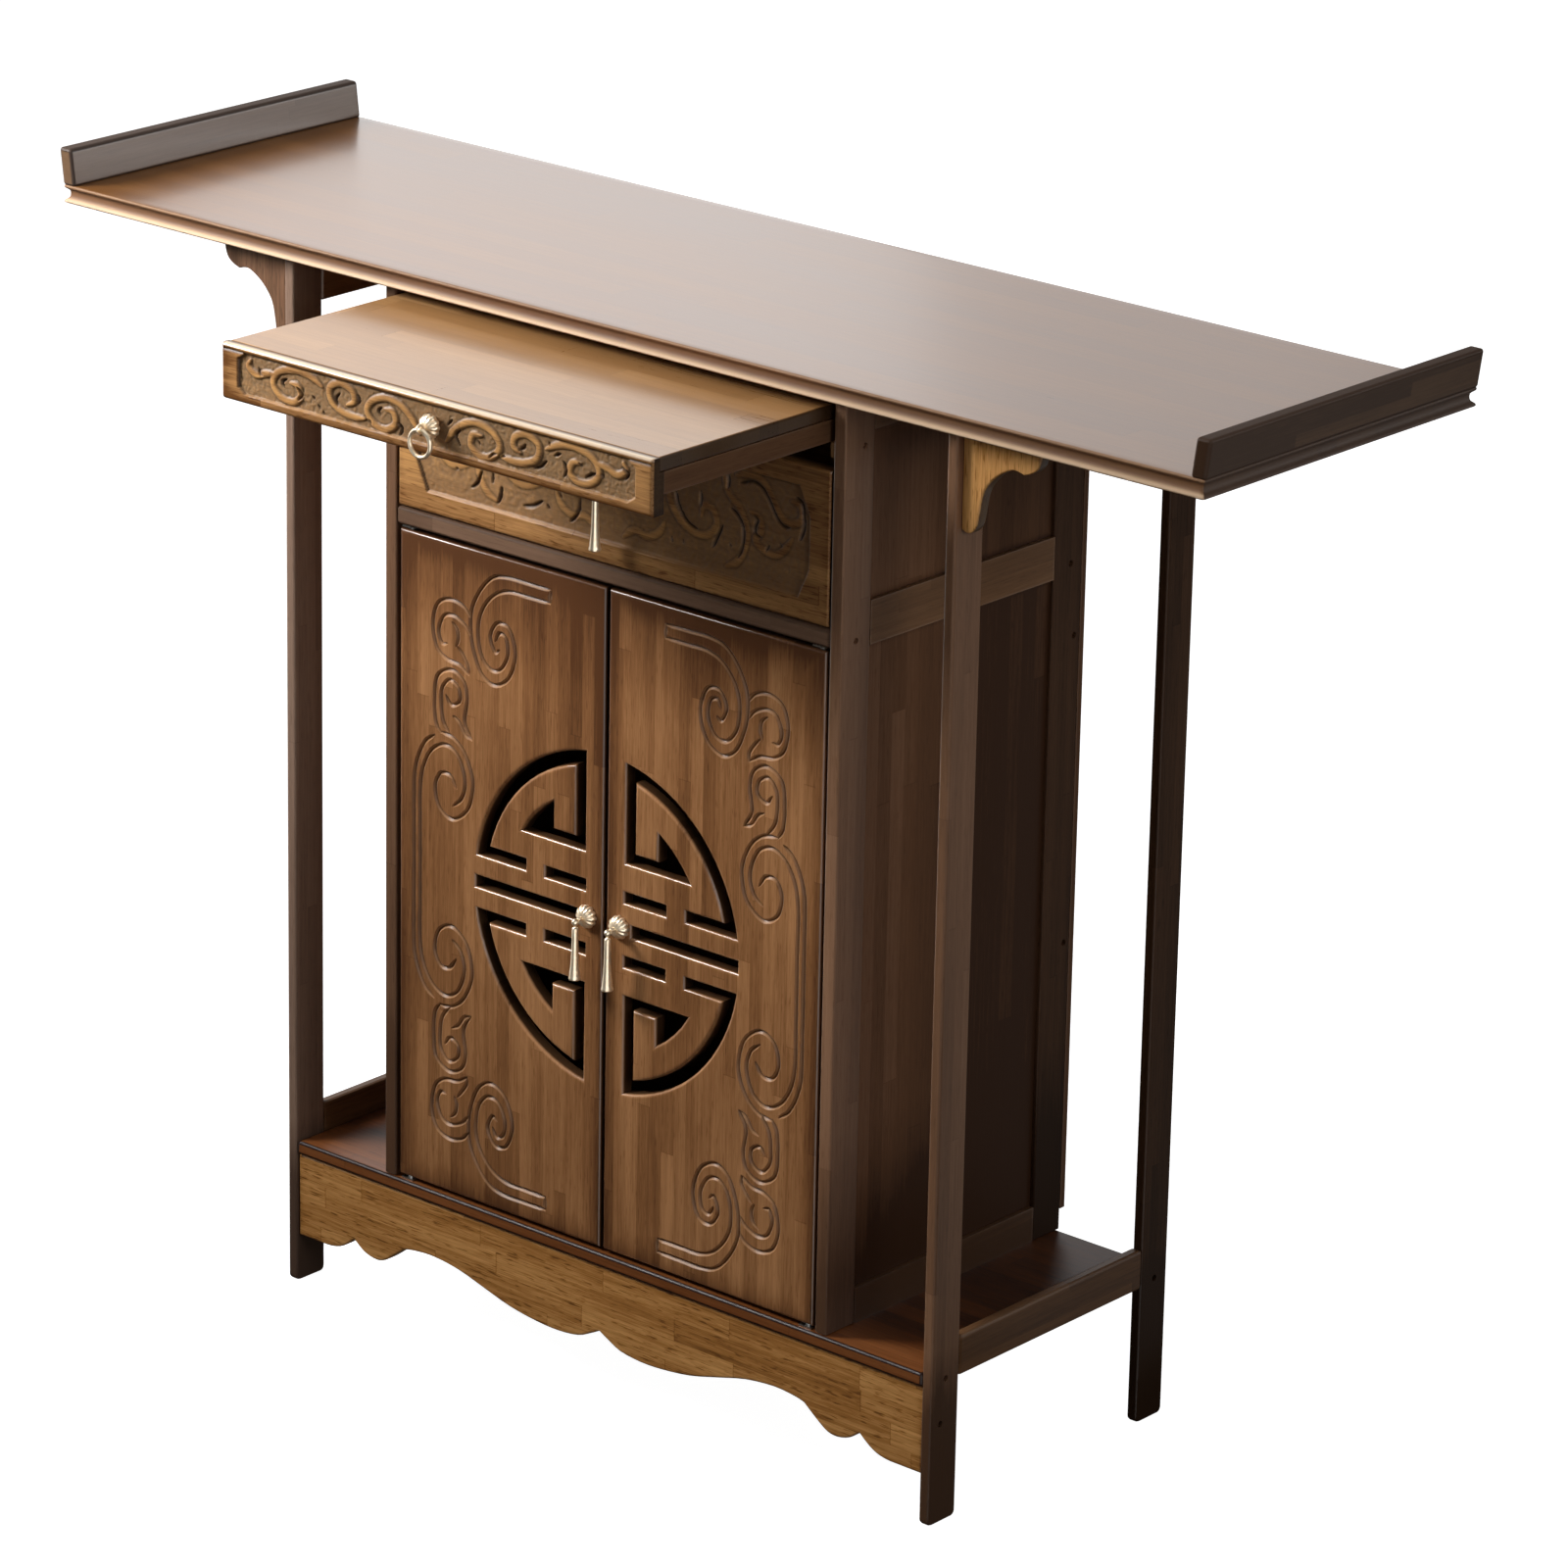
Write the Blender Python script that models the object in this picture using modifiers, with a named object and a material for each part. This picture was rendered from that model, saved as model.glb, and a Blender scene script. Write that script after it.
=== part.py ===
"""Altar cabinet table: a long low-lipped top on four board legs, with a two-door cabinet, a drawer and a
pull-out offering tray between them.

Axes: +X runs along the front, +Y goes to the back, +Z is up, in metres. The origin is on the floor, in the
middle of the space that the table takes with its tray pulled out. The y values below are measured from the
middle of the top, and every builder adds CENTRE_Y, so that the design stays centred on the top.
"""
import math

import bpy
import bmesh
from mathutils import Matrix, Vector

# Overall size
TOP_LENGTH = 1.200
TOP_DEPTH = 0.341
TOP_THICKNESS = 0.016
TOP_HEIGHT = 0.923
GAP = 0.0003            # clearance between pieces that touch

# The top's moulded edge: how far the edge steps in, against the depth below the top face
TOP_EDGE = ((0.0006, 0.0), (0.0, 0.0008), (0.0, 0.0040), (0.0032, 0.0096),
            (0.0012, 0.0120), (0.0018, 0.0148), (0.0040, 0.0160))
TOP_CORNER = 0.0025

# Upturned end boards, leaning outwards
FLANGE_HEIGHT = 0.0310
FLANGE_THICKNESS = 0.0137
FLANGE_LEAN = 0.0051
REBATE = 0.0010         # the end boards sit in a shallow step at each end of the top

# Legs and the low base
LEG_OUTER = 0.3560
LEG_THICKNESS = 0.0100
FRONT_LEG = (-0.1546, -0.1213)
BACK_LEG = (0.1116, 0.1449)
FOOT_ROUNDING = 0.0045
SHELF_TOP = 0.1295
SHELF_THICKNESS = 0.0120
BASE_RAIL = (0.1200, 0.1545)
TOP_RAIL_DROP = 0.0440
APRON_FRONT = -0.1523
APRON_THICKNESS = 0.0100
BRACKET_FRONT = -0.1486
BRACKET_THICKNESS = 0.0100
SCREW_HOLE = 0.0028
SCREW_DEPTH = 0.0035

# Cabinet carcass
POST_OUTER = 0.2440
POST_THICKNESS = 0.0120
FRONT_POST = (-0.1520, -0.1180)
BACK_POST = (0.1090, 0.1440)
MID_RAIL = (0.7020, 0.7380)
LOW_RAIL_TOP = 0.1600
HIGH_RAIL_BOTTOM = 0.8760
PANEL_INSET = 0.0040
PANEL_THICKNESS = 0.0040
BACK_PANEL = (0.1443, 0.1500)
BACK_PANEL_HEIGHTS = (0.1480, 0.9050)
DIVIDER = (0.7035, 0.7185)

# Drawer
DRAWER_FRONT_HALF = 0.2295
DRAWER_FRONT_THICKNESS = 0.0140
DRAWER_BOTTOM = 0.7203
DRAWER_TOP = 0.8460
DRAWER_BOX_OUTER = 0.2285
DRAWER_WALL = 0.0100
DRAWER_BACK = 0.1150
DRAWER_WALL_TOP = 0.8340
DRAWER_FLOOR = (0.0060, 0.0120)     # bottom board's faces above the foot of the drawer's sides
DRAWER_PANEL = 0.2090, 0.7375, 0.8290, (0.0110, 0.0240)     # half width, foot, head, corner cut

# Pull-out tray, shown at its open stop
TRAY_HALF = 0.2268
TRAY_FRONT = -0.3539
TRAY_FRONT_THICKNESS = 0.0137
TRAY_TOP = 0.8987
TRAY_BOTTOM = 0.8533
TRAY_BOARD = 0.0120
TRAY_BACK = -0.0660
TRAY_RAIL_BOTTOM = 0.8688
TRAY_RAIL_WIDTH = 0.0115
RUNNER_BOTTOM = 0.8570
RUNNER_WIDTH = 0.0078   # the part of the ledge that lies under the tray
TRAY_PANEL = 0.2100, 0.8600, 0.8940, (0.0080, 0.0050)
RECESS = 0.0025         # depth of the sunk panels on the tray front and the drawer front

# Doors and their pierced roundel
DOOR_INNER = 0.0018
DOOR_OUTER = 0.2285
DOOR_BOTTOM = 0.1330
DOOR_TOP = 0.7005
DOOR_FRONT = -0.1514
DOOR_THICKNESS = 0.0120
ROUNDEL_HEIGHT = 0.4165
ROUNDEL_RADIUS = 0.1430
SLOT = 0.0110           # width of the curved slot
FRET_RADIUS = 0.1070    # arc that closes the inner fret
FRET_INNER = 0.0220
FRET_ARM = 0.0320
FRET_STEP = 0.0570
PIVOT_X = 0.2200
PIVOT_PIN = 0.0025
PIVOT_HOLE = 0.0029
PIVOT_DEPTH = 0.0120

# Brass pulls
ROSETTE_RADIUS = 0.0100
DOOR_PULL_X = 0.0177
DOOR_PULL_HEIGHT = 0.4185
DRAWER_PULL_HEIGHT = 0.7860
DROP_REACH = 0.0149     # from the wood to the middle of a hanging drop
TRAY_PULL_HEIGHT = 0.8777
RING_RADIUS = 0.0112
RING_WIRE = 0.0014
RING_Y = -0.3661
RING_TOP = 0.8773
EYE_RADIUS = 0.0033
EYE_WIRE = 0.0011

UNDER_TOP = TOP_HEIGHT - TOP_THICKNESS - GAP
CENTRE_Y = (EYE_RADIUS + EYE_WIRE - RING_Y - TOP_DEPTH / 2) / 2

# colour, roughness, metallic
DARK_BOARD = ((0.060, 0.036, 0.024), 0.55, 0.0)
TOP_BOARD = ((0.200, 0.115, 0.062), 0.40, 0.0)
DOOR_BOARD = ((0.190, 0.088, 0.036), 0.45, 0.0)
CARVED_BOARD = ((0.260, 0.140, 0.055), 0.45, 0.0)
PALE_BRASS = ((0.860, 0.740, 0.520), 0.25, 1.0)
STEEL = ((0.600, 0.590, 0.570), 0.35, 1.0)

SIDES = {"left": -1, "right": 1}


def clear_scene():
    for obj in list(bpy.data.objects):
        bpy.data.objects.remove(obj, do_unlink=True)


def new_collection(name):
    collection = bpy.data.collections.new(name)
    bpy.context.scene.collection.children.link(collection)
    return collection


clear_scene()
PARTS = new_collection("altar_cabinet_table")
CUTTERS = new_collection("cutters")


def give_finish(obj, finish):
    """Give the object a material of its own, named after it."""
    colour, roughness, metallic = finish
    material = bpy.data.materials.new(obj.name)
    material.use_nodes = True
    shader = material.node_tree.nodes["Principled BSDF"]
    shader.inputs["Base Color"].default_value = (*colour, 1.0)
    shader.inputs["Roughness"].default_value = roughness
    shader.inputs["Metallic"].default_value = metallic
    obj.data.materials.clear()
    obj.data.materials.append(material)


def add_piece(name, mesh, location, finish):
    """Put a mesh into the table at a place measured from the middle of the top."""
    obj = bpy.data.objects.new(name, mesh)
    obj.location = Vector(location) + Vector((0.0, CENTRE_Y, 0.0))
    PARTS.objects.link(obj)
    give_finish(obj, finish)
    return obj


def make_cutter(obj):
    """Move a helper solid out of the table's own collection and hide it from renders."""
    for collection in list(obj.users_collection):
        collection.objects.unlink(obj)
    CUTTERS.objects.link(obj)
    obj.hide_render = True
    obj.display_type = "WIRE"
    return obj


def combine(obj, tool, operation):
    boolean = obj.modifiers.new(operation.lower(), "BOOLEAN")
    boolean.operation = operation
    boolean.object = make_cutter(tool)


def soften(obj, width, segments=2):
    """Round the edges of a board."""
    bevel = obj.modifiers.new("rounded edges", "BEVEL")
    bevel.width = width
    bevel.segments = segments
    bevel.limit_method = "ANGLE"


def box(name, x, y, z, finish, rounding=0.0, segments=2):
    """A board between two planes on each axis."""
    mesh = bpy.data.meshes.new(name)
    form = bmesh.new()
    bmesh.ops.create_cube(form, size=1.0)
    bmesh.ops.scale(form, vec=(abs(x[1] - x[0]), y[1] - y[0], z[1] - z[0]), verts=form.verts)
    form.to_mesh(mesh)
    form.free()
    centre = ((x[0] + x[1]) / 2, (y[0] + y[1]) / 2, (z[0] + z[1]) / 2)
    obj = add_piece(name, mesh, centre, finish)
    if rounding:
        soften(obj, rounding, segments)
    return obj


def solid_outline(name, outlines, thickness, location, finish, upright=True):
    """A board cut to closed outlines; the first is its edge and the others are holes through it.

    An outline is a list of (u, v) points. An upright board lies in the XZ plane, a flat one in XY.
    """
    curve = bpy.data.curves.new(name, "CURVE")
    curve.dimensions = "2D"
    curve.fill_mode = "BOTH"
    curve.extrude = thickness / 2
    for outline in outlines:
        spline = curve.splines.new("POLY")
        spline.points.add(len(outline) - 1)
        for point, (u, v) in zip(spline.points, outline):
            point.co = (u, v, 0.0, 1.0)
        spline.use_cyclic_u = True
    drawn = bpy.data.objects.new(name + "_outline", curve)
    PARTS.objects.link(drawn)
    bpy.context.view_layer.update()
    mesh = bpy.data.meshes.new_from_object(drawn.evaluated_get(bpy.context.evaluated_depsgraph_get()))
    bpy.data.objects.remove(drawn, do_unlink=True)
    form = bmesh.new()
    form.from_mesh(mesh)
    bmesh.ops.remove_doubles(form, verts=form.verts, dist=0.000001)
    if upright:
        bmesh.ops.rotate(form, verts=form.verts, cent=(0, 0, 0), matrix=Matrix.Rotation(math.pi / 2, 3, "X"))
    bmesh.ops.recalc_face_normals(form, faces=form.faces)
    form.to_mesh(mesh)
    form.free()
    return add_piece(name, mesh, location, finish)


def arc(radius, start, end, steps):
    """Points on an arc about the origin, from one angle to another."""
    angles = [start + (end - start) * i / steps for i in range(steps + 1)]
    return [(radius * math.cos(a), radius * math.sin(a)) for a in angles]


def flowing(points, steps=4):
    """Carry a smooth curve through the points; a third value of True marks a sharp corner."""
    line = []
    for i in range(len(points) - 1):
        here, there = points[i], points[i + 1]
        before = here if here[2] or i == 0 else points[i - 1]
        after = there if there[2] or i + 2 == len(points) else points[i + 2]
        for step in range(steps):
            t = step / steps
            line.append(tuple(
                0.5 * (2 * here[k] + (there[k] - before[k]) * t
                       + (2 * before[k] - 5 * here[k] + 4 * there[k] - after[k]) * t ** 2
                       + (3 * here[k] - before[k] - 3 * there[k] + after[k]) * t ** 3)
                for k in (0, 1)))
    line.append(points[-1][:2])
    return line


def turned(name, profile, location, finish, steps, facing_front=False):
    """A round piece: a profile of (radius, height), from its top to its foot, carried round its axis."""
    mesh = bpy.data.meshes.new(name)
    edges = [(i, i + 1) for i in range(len(profile) - 1)]
    mesh.from_pydata([(radius, 0.0, height) for radius, height in profile], edges, [])
    obj = add_piece(name, mesh, location, finish)
    if facing_front:
        obj.rotation_euler.x = math.pi / 2
    screw = obj.modifiers.new("turned", "SCREW")
    screw.steps = steps
    screw.render_steps = steps
    screw.use_merge_vertices = True
    screw.merge_threshold = 0.00001
    return obj


def hang_on(name, location, pieces):
    """Parent the pieces to an empty that lies on their joint's axis."""
    axis = bpy.data.objects.new(name, None)
    axis.location = Vector(location) + Vector((0.0, CENTRE_Y, 0.0))
    PARTS.objects.link(axis)
    for piece in pieces:
        piece.parent = axis
        piece.matrix_parent_inverse = Matrix.Translation(-axis.location)


# ---- the top and its end boards ----

def rounded_rectangle(half_x, half_y, radius, steps=3):
    outline = []
    for quarter, (sx, sy) in enumerate(((1, 1), (-1, 1), (-1, -1), (1, -1))):
        start = quarter * math.pi / 2
        corner = arc(radius, start, start + math.pi / 2, steps)
        outline += [(sx * (half_x - radius) + u, sy * (half_y - radius) + v) for u, v in corner]
    return outline


def table_top():
    """Start from the outline of the underside, and extrude it up through each step of the moulding."""
    mesh = bpy.data.meshes.new("table_top")
    form = bmesh.new()
    half_length, half_depth = TOP_LENGTH / 2, TOP_DEPTH / 2
    rings = [(TOP_HEIGHT - depth, rounded_rectangle(half_length - inset, half_depth - inset, TOP_CORNER))
             for inset, depth in reversed(TOP_EDGE)]
    foot, below = rings[0]
    face = form.faces.new([form.verts.new((x, y, foot)) for x, y in below])
    for step, (height, outline) in enumerate(rings[1:]):
        lifted = bmesh.ops.extrude_face_region(form, geom=[face])
        if step:
            bmesh.ops.delete(form, geom=[face], context="FACES_ONLY")
        face = next(item for item in lifted["geom"] if isinstance(item, bmesh.types.BMFace))
        for vert in face.verts:
            nearest = min(range(len(below)), key=lambda i: (Vector(below[i]) - vert.co.xy).length)
            vert.co = (*outline[nearest], height)
        below = outline
    bmesh.ops.recalc_face_normals(form, faces=form.faces)
    form.to_mesh(mesh)
    form.free()
    return add_piece("table_top", mesh, (0, 0, 0), TOP_BOARD)


def end_flange(side, sign, top):
    """A leaning board along one end, seated in its step in the top."""
    foot = TOP_HEIGHT - REBATE + GAP
    inner = TOP_LENGTH / 2 - FLANGE_THICKNESS
    half_depth = TOP_DEPTH / 2
    step = box(side + "_end_step", (sign * (inner - GAP), sign * TOP_LENGTH), (-TOP_DEPTH, TOP_DEPTH),
               (TOP_HEIGHT - REBATE, TOP_HEIGHT + REBATE), TOP_BOARD)
    combine(top, step, "DIFFERENCE")
    flange = box(side + "_end_flange", (sign * inner, sign * TOP_LENGTH / 2), (-half_depth, half_depth),
                 (foot, TOP_HEIGHT + FLANGE_HEIGHT + GAP), TOP_BOARD)
    for vert in flange.data.vertices:
        if vert.co.z > 0:
            vert.co.x += sign * FLANGE_LEAN
    soften(flange, 0.0025)


top_board = table_top()
for side, sign in SIDES.items():
    end_flange(side, sign, top_board)


# ---- legs, rails, shelf and apron ----

# screws that show on the outer faces, as (y, z) on each piece
LEG_SCREWS = {"front": ((-0.1376, 0.1236), (-0.1430, 0.0860)), "back": ((0.1286, 0.1246),)}
POST_SCREWS = {"front": ((-0.1290, 0.8650), (-0.1350, 0.7090)),
               "back": ((0.1300, 0.7110), (0.1370, 0.6490), (0.1370, 0.3850))}


def screw_holes(board, sign, face, places):
    """Sink a round hole for each screw into the board's outer face."""
    profile = [(0.0, SCREW_DEPTH), (SCREW_HOLE, SCREW_DEPTH), (SCREW_HOLE, -SCREW_DEPTH), (0.0, -SCREW_DEPTH)]
    for number, (y, z) in enumerate(places, 1):
        hole = turned(f"{board.name}_screw_{number}", profile, (sign * face, y, z), STEEL, 12)
        hole.rotation_euler.y = math.pi / 2
        combine(board, hole, "DIFFERENCE")


def round_foot(leg):
    """Round the two ends of a leg's foot, as seen from the side."""
    form = bmesh.new()
    form.from_mesh(leg.data)
    ends = [edge for edge in form.edges
            if max(v.co.z for v in edge.verts) < 0 and edge.verts[0].co.y == edge.verts[1].co.y]
    bmesh.ops.bevel(form, geom=ends, offset=FOOT_ROUNDING, segments=3, profile=0.5, affect="EDGES")
    form.to_mesh(leg.data)
    form.free()


def legs(side, sign):
    across = (sign * (LEG_OUTER - LEG_THICKNESS), sign * LEG_OUTER)
    for end, y in (("front", FRONT_LEG), ("back", BACK_LEG)):
        leg = box(f"{end}_{side}_leg", across, y, (0.0, UNDER_TOP), DARK_BOARD)
        round_foot(leg)
        soften(leg, 0.0018)
        screw_holes(leg, sign, LEG_OUTER, LEG_SCREWS[end])
    between = (FRONT_LEG[1] + GAP, BACK_LEG[0] - GAP)
    box(side + "_top_rail", across, between, (UNDER_TOP - TOP_RAIL_DROP, UNDER_TOP), DARK_BOARD, 0.0015, 1)
    box(side + "_base_rail", across, between, BASE_RAIL, DARK_BOARD, 0.0025)


BRACKET_LINE = (
    (0.0770, 0.9067, True), (0.0750, 0.8960, False), (0.0720, 0.8890, False), (0.0660, 0.8846, False),
    (0.0590, 0.8820, True), (0.0520, 0.8838, False), (0.0450, 0.8826, False), (0.0324, 0.8748, False),
    (0.0218, 0.8620, False), (0.0180, 0.8470, False), (0.0165, 0.8380, False), (0.0140, 0.8306, False),
    (0.0092, 0.8258, False), (0.0045, 0.8253, False), (GAP, 0.8275, True))


def leg_bracket(side, sign):
    """A scrolled ear that fills the corner between a front leg and the top."""
    edge = flowing(BRACKET_LINE, 3)
    edge[0] = (edge[0][0], UNDER_TOP)
    outline = [(sign * (LEG_OUTER + u), v) for u, v in edge + [(GAP, UNDER_TOP)]]
    solid_outline(side + "_leg_bracket", [outline], BRACKET_THICKNESS,
                  (0.0, BRACKET_FRONT + BRACKET_THICKNESS / 2, 0.0), DARK_BOARD)


SHELF_HALF = LEG_OUTER - LEG_THICKNESS - GAP
SHELF_BOTTOM = SHELF_TOP - SHELF_THICKNESS
APRON_TOP = SHELF_BOTTOM - GAP
# the lower edge of the apron, from its middle point out to the leg
APRON_LINE = (
    (0.000, 0.0590, True), (0.010, 0.0538, False), (0.024, 0.0478, False), (0.046, 0.0452, False),
    (0.070, 0.0460, False), (0.100, 0.0500, False), (0.130, 0.0578, False), (0.160, 0.0656, False),
    (0.190, 0.0688, False), (0.212, 0.0672, False), (0.222, 0.0650, True), (0.238, 0.0530, False),
    (0.248, 0.0472, False), (0.258, 0.0462, False), (0.270, 0.0495, False), (0.2805, 0.0570, True),
    (0.289, 0.0503, False), (0.298, 0.0453, False), (0.309, 0.0428, False), (0.322, 0.0425, False),
    (SHELF_HALF, 0.0425, True))


def base_apron():
    half = flowing(APRON_LINE, 3)
    mirrored = [(-u, v) for u, v in reversed(half[1:])]
    outline = mirrored + half + [(SHELF_HALF, APRON_TOP), (-SHELF_HALF, APRON_TOP)]
    solid_outline("base_apron", [outline], APRON_THICKNESS,
                  (0.0, APRON_FRONT + APRON_THICKNESS / 2, 0.0), CARVED_BOARD)


for side, sign in SIDES.items():
    legs(side, sign)
    leg_bracket(side, sign)
base_apron()
box("base_shelf", (-SHELF_HALF, SHELF_HALF), (FRONT_LEG[0], BACK_LEG[1] - 0.0019),
    (SHELF_BOTTOM, SHELF_TOP), DARK_BOARD, 0.0030)


# ---- cabinet carcass ----

ON_SHELF = SHELF_TOP + GAP
POST_INNER = POST_OUTER - POST_THICKNESS


def carcass_side(side, sign):
    across = (sign * POST_INNER, sign * POST_OUTER)
    for end, y in (("front", FRONT_POST), ("back", BACK_POST)):
        post = box(f"{end}_{side}_post", across, y, (ON_SHELF, UNDER_TOP), DARK_BOARD, 0.0012)
        screw_holes(post, sign, POST_OUTER, POST_SCREWS[end])
    between = (FRONT_POST[1] + GAP, BACK_POST[0] - GAP)
    box(side + "_side_low_rail", across, between, (ON_SHELF, LOW_RAIL_TOP), DARK_BOARD)
    box(side + "_side_mid_rail", across, between, MID_RAIL, DARK_BOARD)
    box(side + "_side_high_rail", across, between, (HIGH_RAIL_BOTTOM, UNDER_TOP), DARK_BOARD)
    outer = POST_OUTER - PANEL_INSET
    sunk = (sign * (outer - PANEL_THICKNESS), sign * outer)
    box(side + "_side_low_panel", sunk, between, (LOW_RAIL_TOP + GAP, MID_RAIL[0] - GAP), DARK_BOARD)
    box(side + "_side_high_panel", sunk, between, (MID_RAIL[1] + GAP, HIGH_RAIL_BOTTOM - GAP), DARK_BOARD)


for side, sign in SIDES.items():
    carcass_side(side, sign)
box("back_low_rail", (GAP - POST_INNER, POST_INNER - GAP), (BACK_POST[1] - POST_THICKNESS, BACK_POST[1]),
    (ON_SHELF, LOW_RAIL_TOP), DARK_BOARD)
box("back_panel", (-POST_OUTER, POST_OUTER), BACK_PANEL, BACK_PANEL_HEIGHTS, DARK_BOARD)
box("divider_shelf", (GAP - POST_INNER, POST_INNER - GAP), (FRONT_POST[0], BACK_POST[1]), DIVIDER,
    DARK_BOARD, 0.0030)


# ---- brass pulls ----

def rosette(name, x, y, z, stem):
    """A domed rosette on the wood, with a short stem in front that carries the pull."""
    plate, dome, stem_radius = 0.0015, 0.0062, 0.0016
    start = math.asin(stem_radius / ROSETTE_RADIUS)
    cap = arc(1.0, math.pi / 2 - start, 0.0, 5)
    profile = [(0.0, stem), (stem_radius, stem)]
    profile += [(ROSETTE_RADIUS * u, plate + dome * v) for u, v in cap]
    profile += [(ROSETTE_RADIUS, 0.0), (0.0, 0.0)]
    return turned(name, profile, (x, y - GAP, z), PALE_BRASS, 20, facing_front=True)


BALL = 0.0026
DROP_PROFILE = (
    (0.0, BALL), (0.0018, 0.0018), (BALL, 0.0), (0.0018, -0.0018), (0.0010, -0.0025), (0.0010, -0.0036),
    (0.0021, -0.0046), (0.0024, -0.0200), (0.0030, -0.0330), (0.0039, -0.0420), (0.0047, -0.0485),
    (0.0042, -0.0496), (0.0, -0.0496))


def drop_pull(name, x, face, z):
    """A rosette and the flared drop that hangs from it by a small ball."""
    stem = DROP_REACH - BALL - 2 * GAP
    return [rosette(name + "_rosette", x, face, z, stem),
            turned(name + "_drop", DROP_PROFILE, (x, face - DROP_REACH, z - 0.0010), PALE_BRASS, 12)]


def torus(name, radius, wire, location, rotation, counts, finish):
    place = Vector(location) + Vector((0.0, CENTRE_Y, 0.0))
    bpy.ops.mesh.primitive_torus_add(location=place, rotation=rotation,
                                     major_radius=radius, minor_radius=wire,
                                     major_segments=counts[0], minor_segments=counts[1])
    obj = bpy.context.object
    obj.name = name
    for collection in list(obj.users_collection):
        collection.objects.unlink(obj)
    PARTS.objects.link(obj)
    give_finish(obj, finish)
    return obj


# ---- tray ----

def sunk_panel(board, half_width, low, high, corner, face):
    """Sink a panel with cut corners into the front of a board."""
    outline = []
    for sx, sz, order in ((1, 1, 1), (-1, 1, -1), (-1, -1, 1), (1, -1, -1)):
        z = high if sz > 0 else low
        cut = [(sx * half_width, z - sz * corner[1]), (sx * (half_width - corner[0]), z)]
        outline += cut[::order]
    cutter = solid_outline(board.name + "_sinking", [outline], RECESS * 2, (0.0, face, 0.0), DARK_BOARD)
    combine(board, cutter, "DIFFERENCE")


def tray():
    back_of_front = TRAY_FRONT + TRAY_FRONT_THICKNESS
    front = box("tray_front", (-TRAY_HALF, TRAY_HALF), (TRAY_FRONT, back_of_front), (TRAY_BOTTOM, TRAY_TOP),
                CARVED_BOARD, 0.0025)
    sunk_panel(front, *TRAY_PANEL, TRAY_FRONT)
    board_edge = TRAY_HALF - 0.0008
    length = (back_of_front + GAP, TRAY_BACK)
    board_bottom = TRAY_TOP - TRAY_BOARD
    pieces = [front, box("tray_board", (-board_edge, board_edge), length, (board_bottom, TRAY_TOP),
                         CARVED_BOARD, 0.0010, 1)]
    for side, sign in SIDES.items():
        across = (sign * (board_edge - TRAY_RAIL_WIDTH), sign * board_edge)
        pieces.append(box(side + "_tray_rail", across, length, (TRAY_RAIL_BOTTOM, board_bottom - GAP),
                          CARVED_BOARD))
    eye_reach = TRAY_FRONT - GAP - RING_Y
    pull = rosette("tray_rosette", 0.0, TRAY_FRONT, TRAY_PULL_HEIGHT, eye_reach - EYE_RADIUS)
    eye = torus("tray_eye", EYE_RADIUS, EYE_WIRE, (0.0, RING_Y, RING_TOP + 0.0004), (0.0, math.pi / 2, 0.0),
                (20, 8), PALE_BRASS)
    combine(pull, eye, "UNION")
    pieces.append(pull)
    ring = torus("tray_pull_ring", RING_RADIUS, RING_WIRE, (0.0, RING_Y, RING_TOP - RING_RADIUS),
                 (math.pi / 2, 0.0, 0.0), (32, 8), PALE_BRASS)
    hang_on("tray_slide_axis", (0.0, TRAY_FRONT, TRAY_RAIL_BOTTOM), pieces)
    hang_on("ring_hinge_axis", (0.0, RING_Y, RING_TOP), [ring])


def tray_runner(side, sign):
    """A ledge for the tray's rail, narrowed at its front end so that the closed tray front clears it."""
    top = TRAY_RAIL_BOTTOM - GAP
    closed_back = FRONT_POST[0] + TRAY_FRONT_THICKNESS + 0.0004
    outer = POST_INNER - GAP
    nose = TRAY_HALF + 0.0004
    inner = TRAY_HALF - RUNNER_WIDTH
    back = BACK_POST[1] - 0.0001
    outline = [(inner, closed_back), (nose, closed_back), (nose, FRONT_POST[0] + 0.0020),
               (outer, FRONT_POST[0] + 0.0020), (outer, back), (inner, back)]
    solid_outline(side + "_tray_runner", [[(sign * u, v) for u, v in outline]], top - RUNNER_BOTTOM,
                  (0.0, 0.0, (top + RUNNER_BOTTOM) / 2), DOOR_BOARD, upright=False)


tray()
for side, sign in SIDES.items():
    tray_runner(side, sign)


# ---- drawer ----

def drawer():
    face = FRONT_POST[0]
    behind = face + DRAWER_FRONT_THICKNESS
    front = box("drawer_front", (-DRAWER_FRONT_HALF, DRAWER_FRONT_HALF), (face, behind),
                (DRAWER_BOTTOM, DRAWER_TOP), CARVED_BOARD, 0.0020)
    sunk_panel(front, *DRAWER_PANEL, face)
    floor = DIVIDER[1] + 0.0008
    pieces = [front]
    for side, sign in SIDES.items():
        across = (sign * (DRAWER_BOX_OUTER - DRAWER_WALL), sign * DRAWER_BOX_OUTER)
        pieces.append(box(side + "_drawer_side", across, (behind + GAP, DRAWER_BACK),
                          (floor, DRAWER_WALL_TOP), DOOR_BOARD))
    inner = DRAWER_BOX_OUTER - DRAWER_WALL - GAP
    back = (DRAWER_BACK - DRAWER_WALL, DRAWER_BACK)
    pieces.append(box("drawer_back", (-inner, inner), back, (floor, DRAWER_WALL_TOP), DOOR_BOARD))
    pieces.append(box("drawer_bottom", (-inner, inner), (behind + GAP, back[0] - GAP),
                      (floor + DRAWER_FLOOR[0], floor + DRAWER_FLOOR[1]), DOOR_BOARD))
    pieces += drop_pull("drawer", 0.0, face, DRAWER_PULL_HEIGHT)
    hang_on("drawer_slide_axis", (0.0, face, floor), pieces)


drawer()


# ---- doors ----

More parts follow.
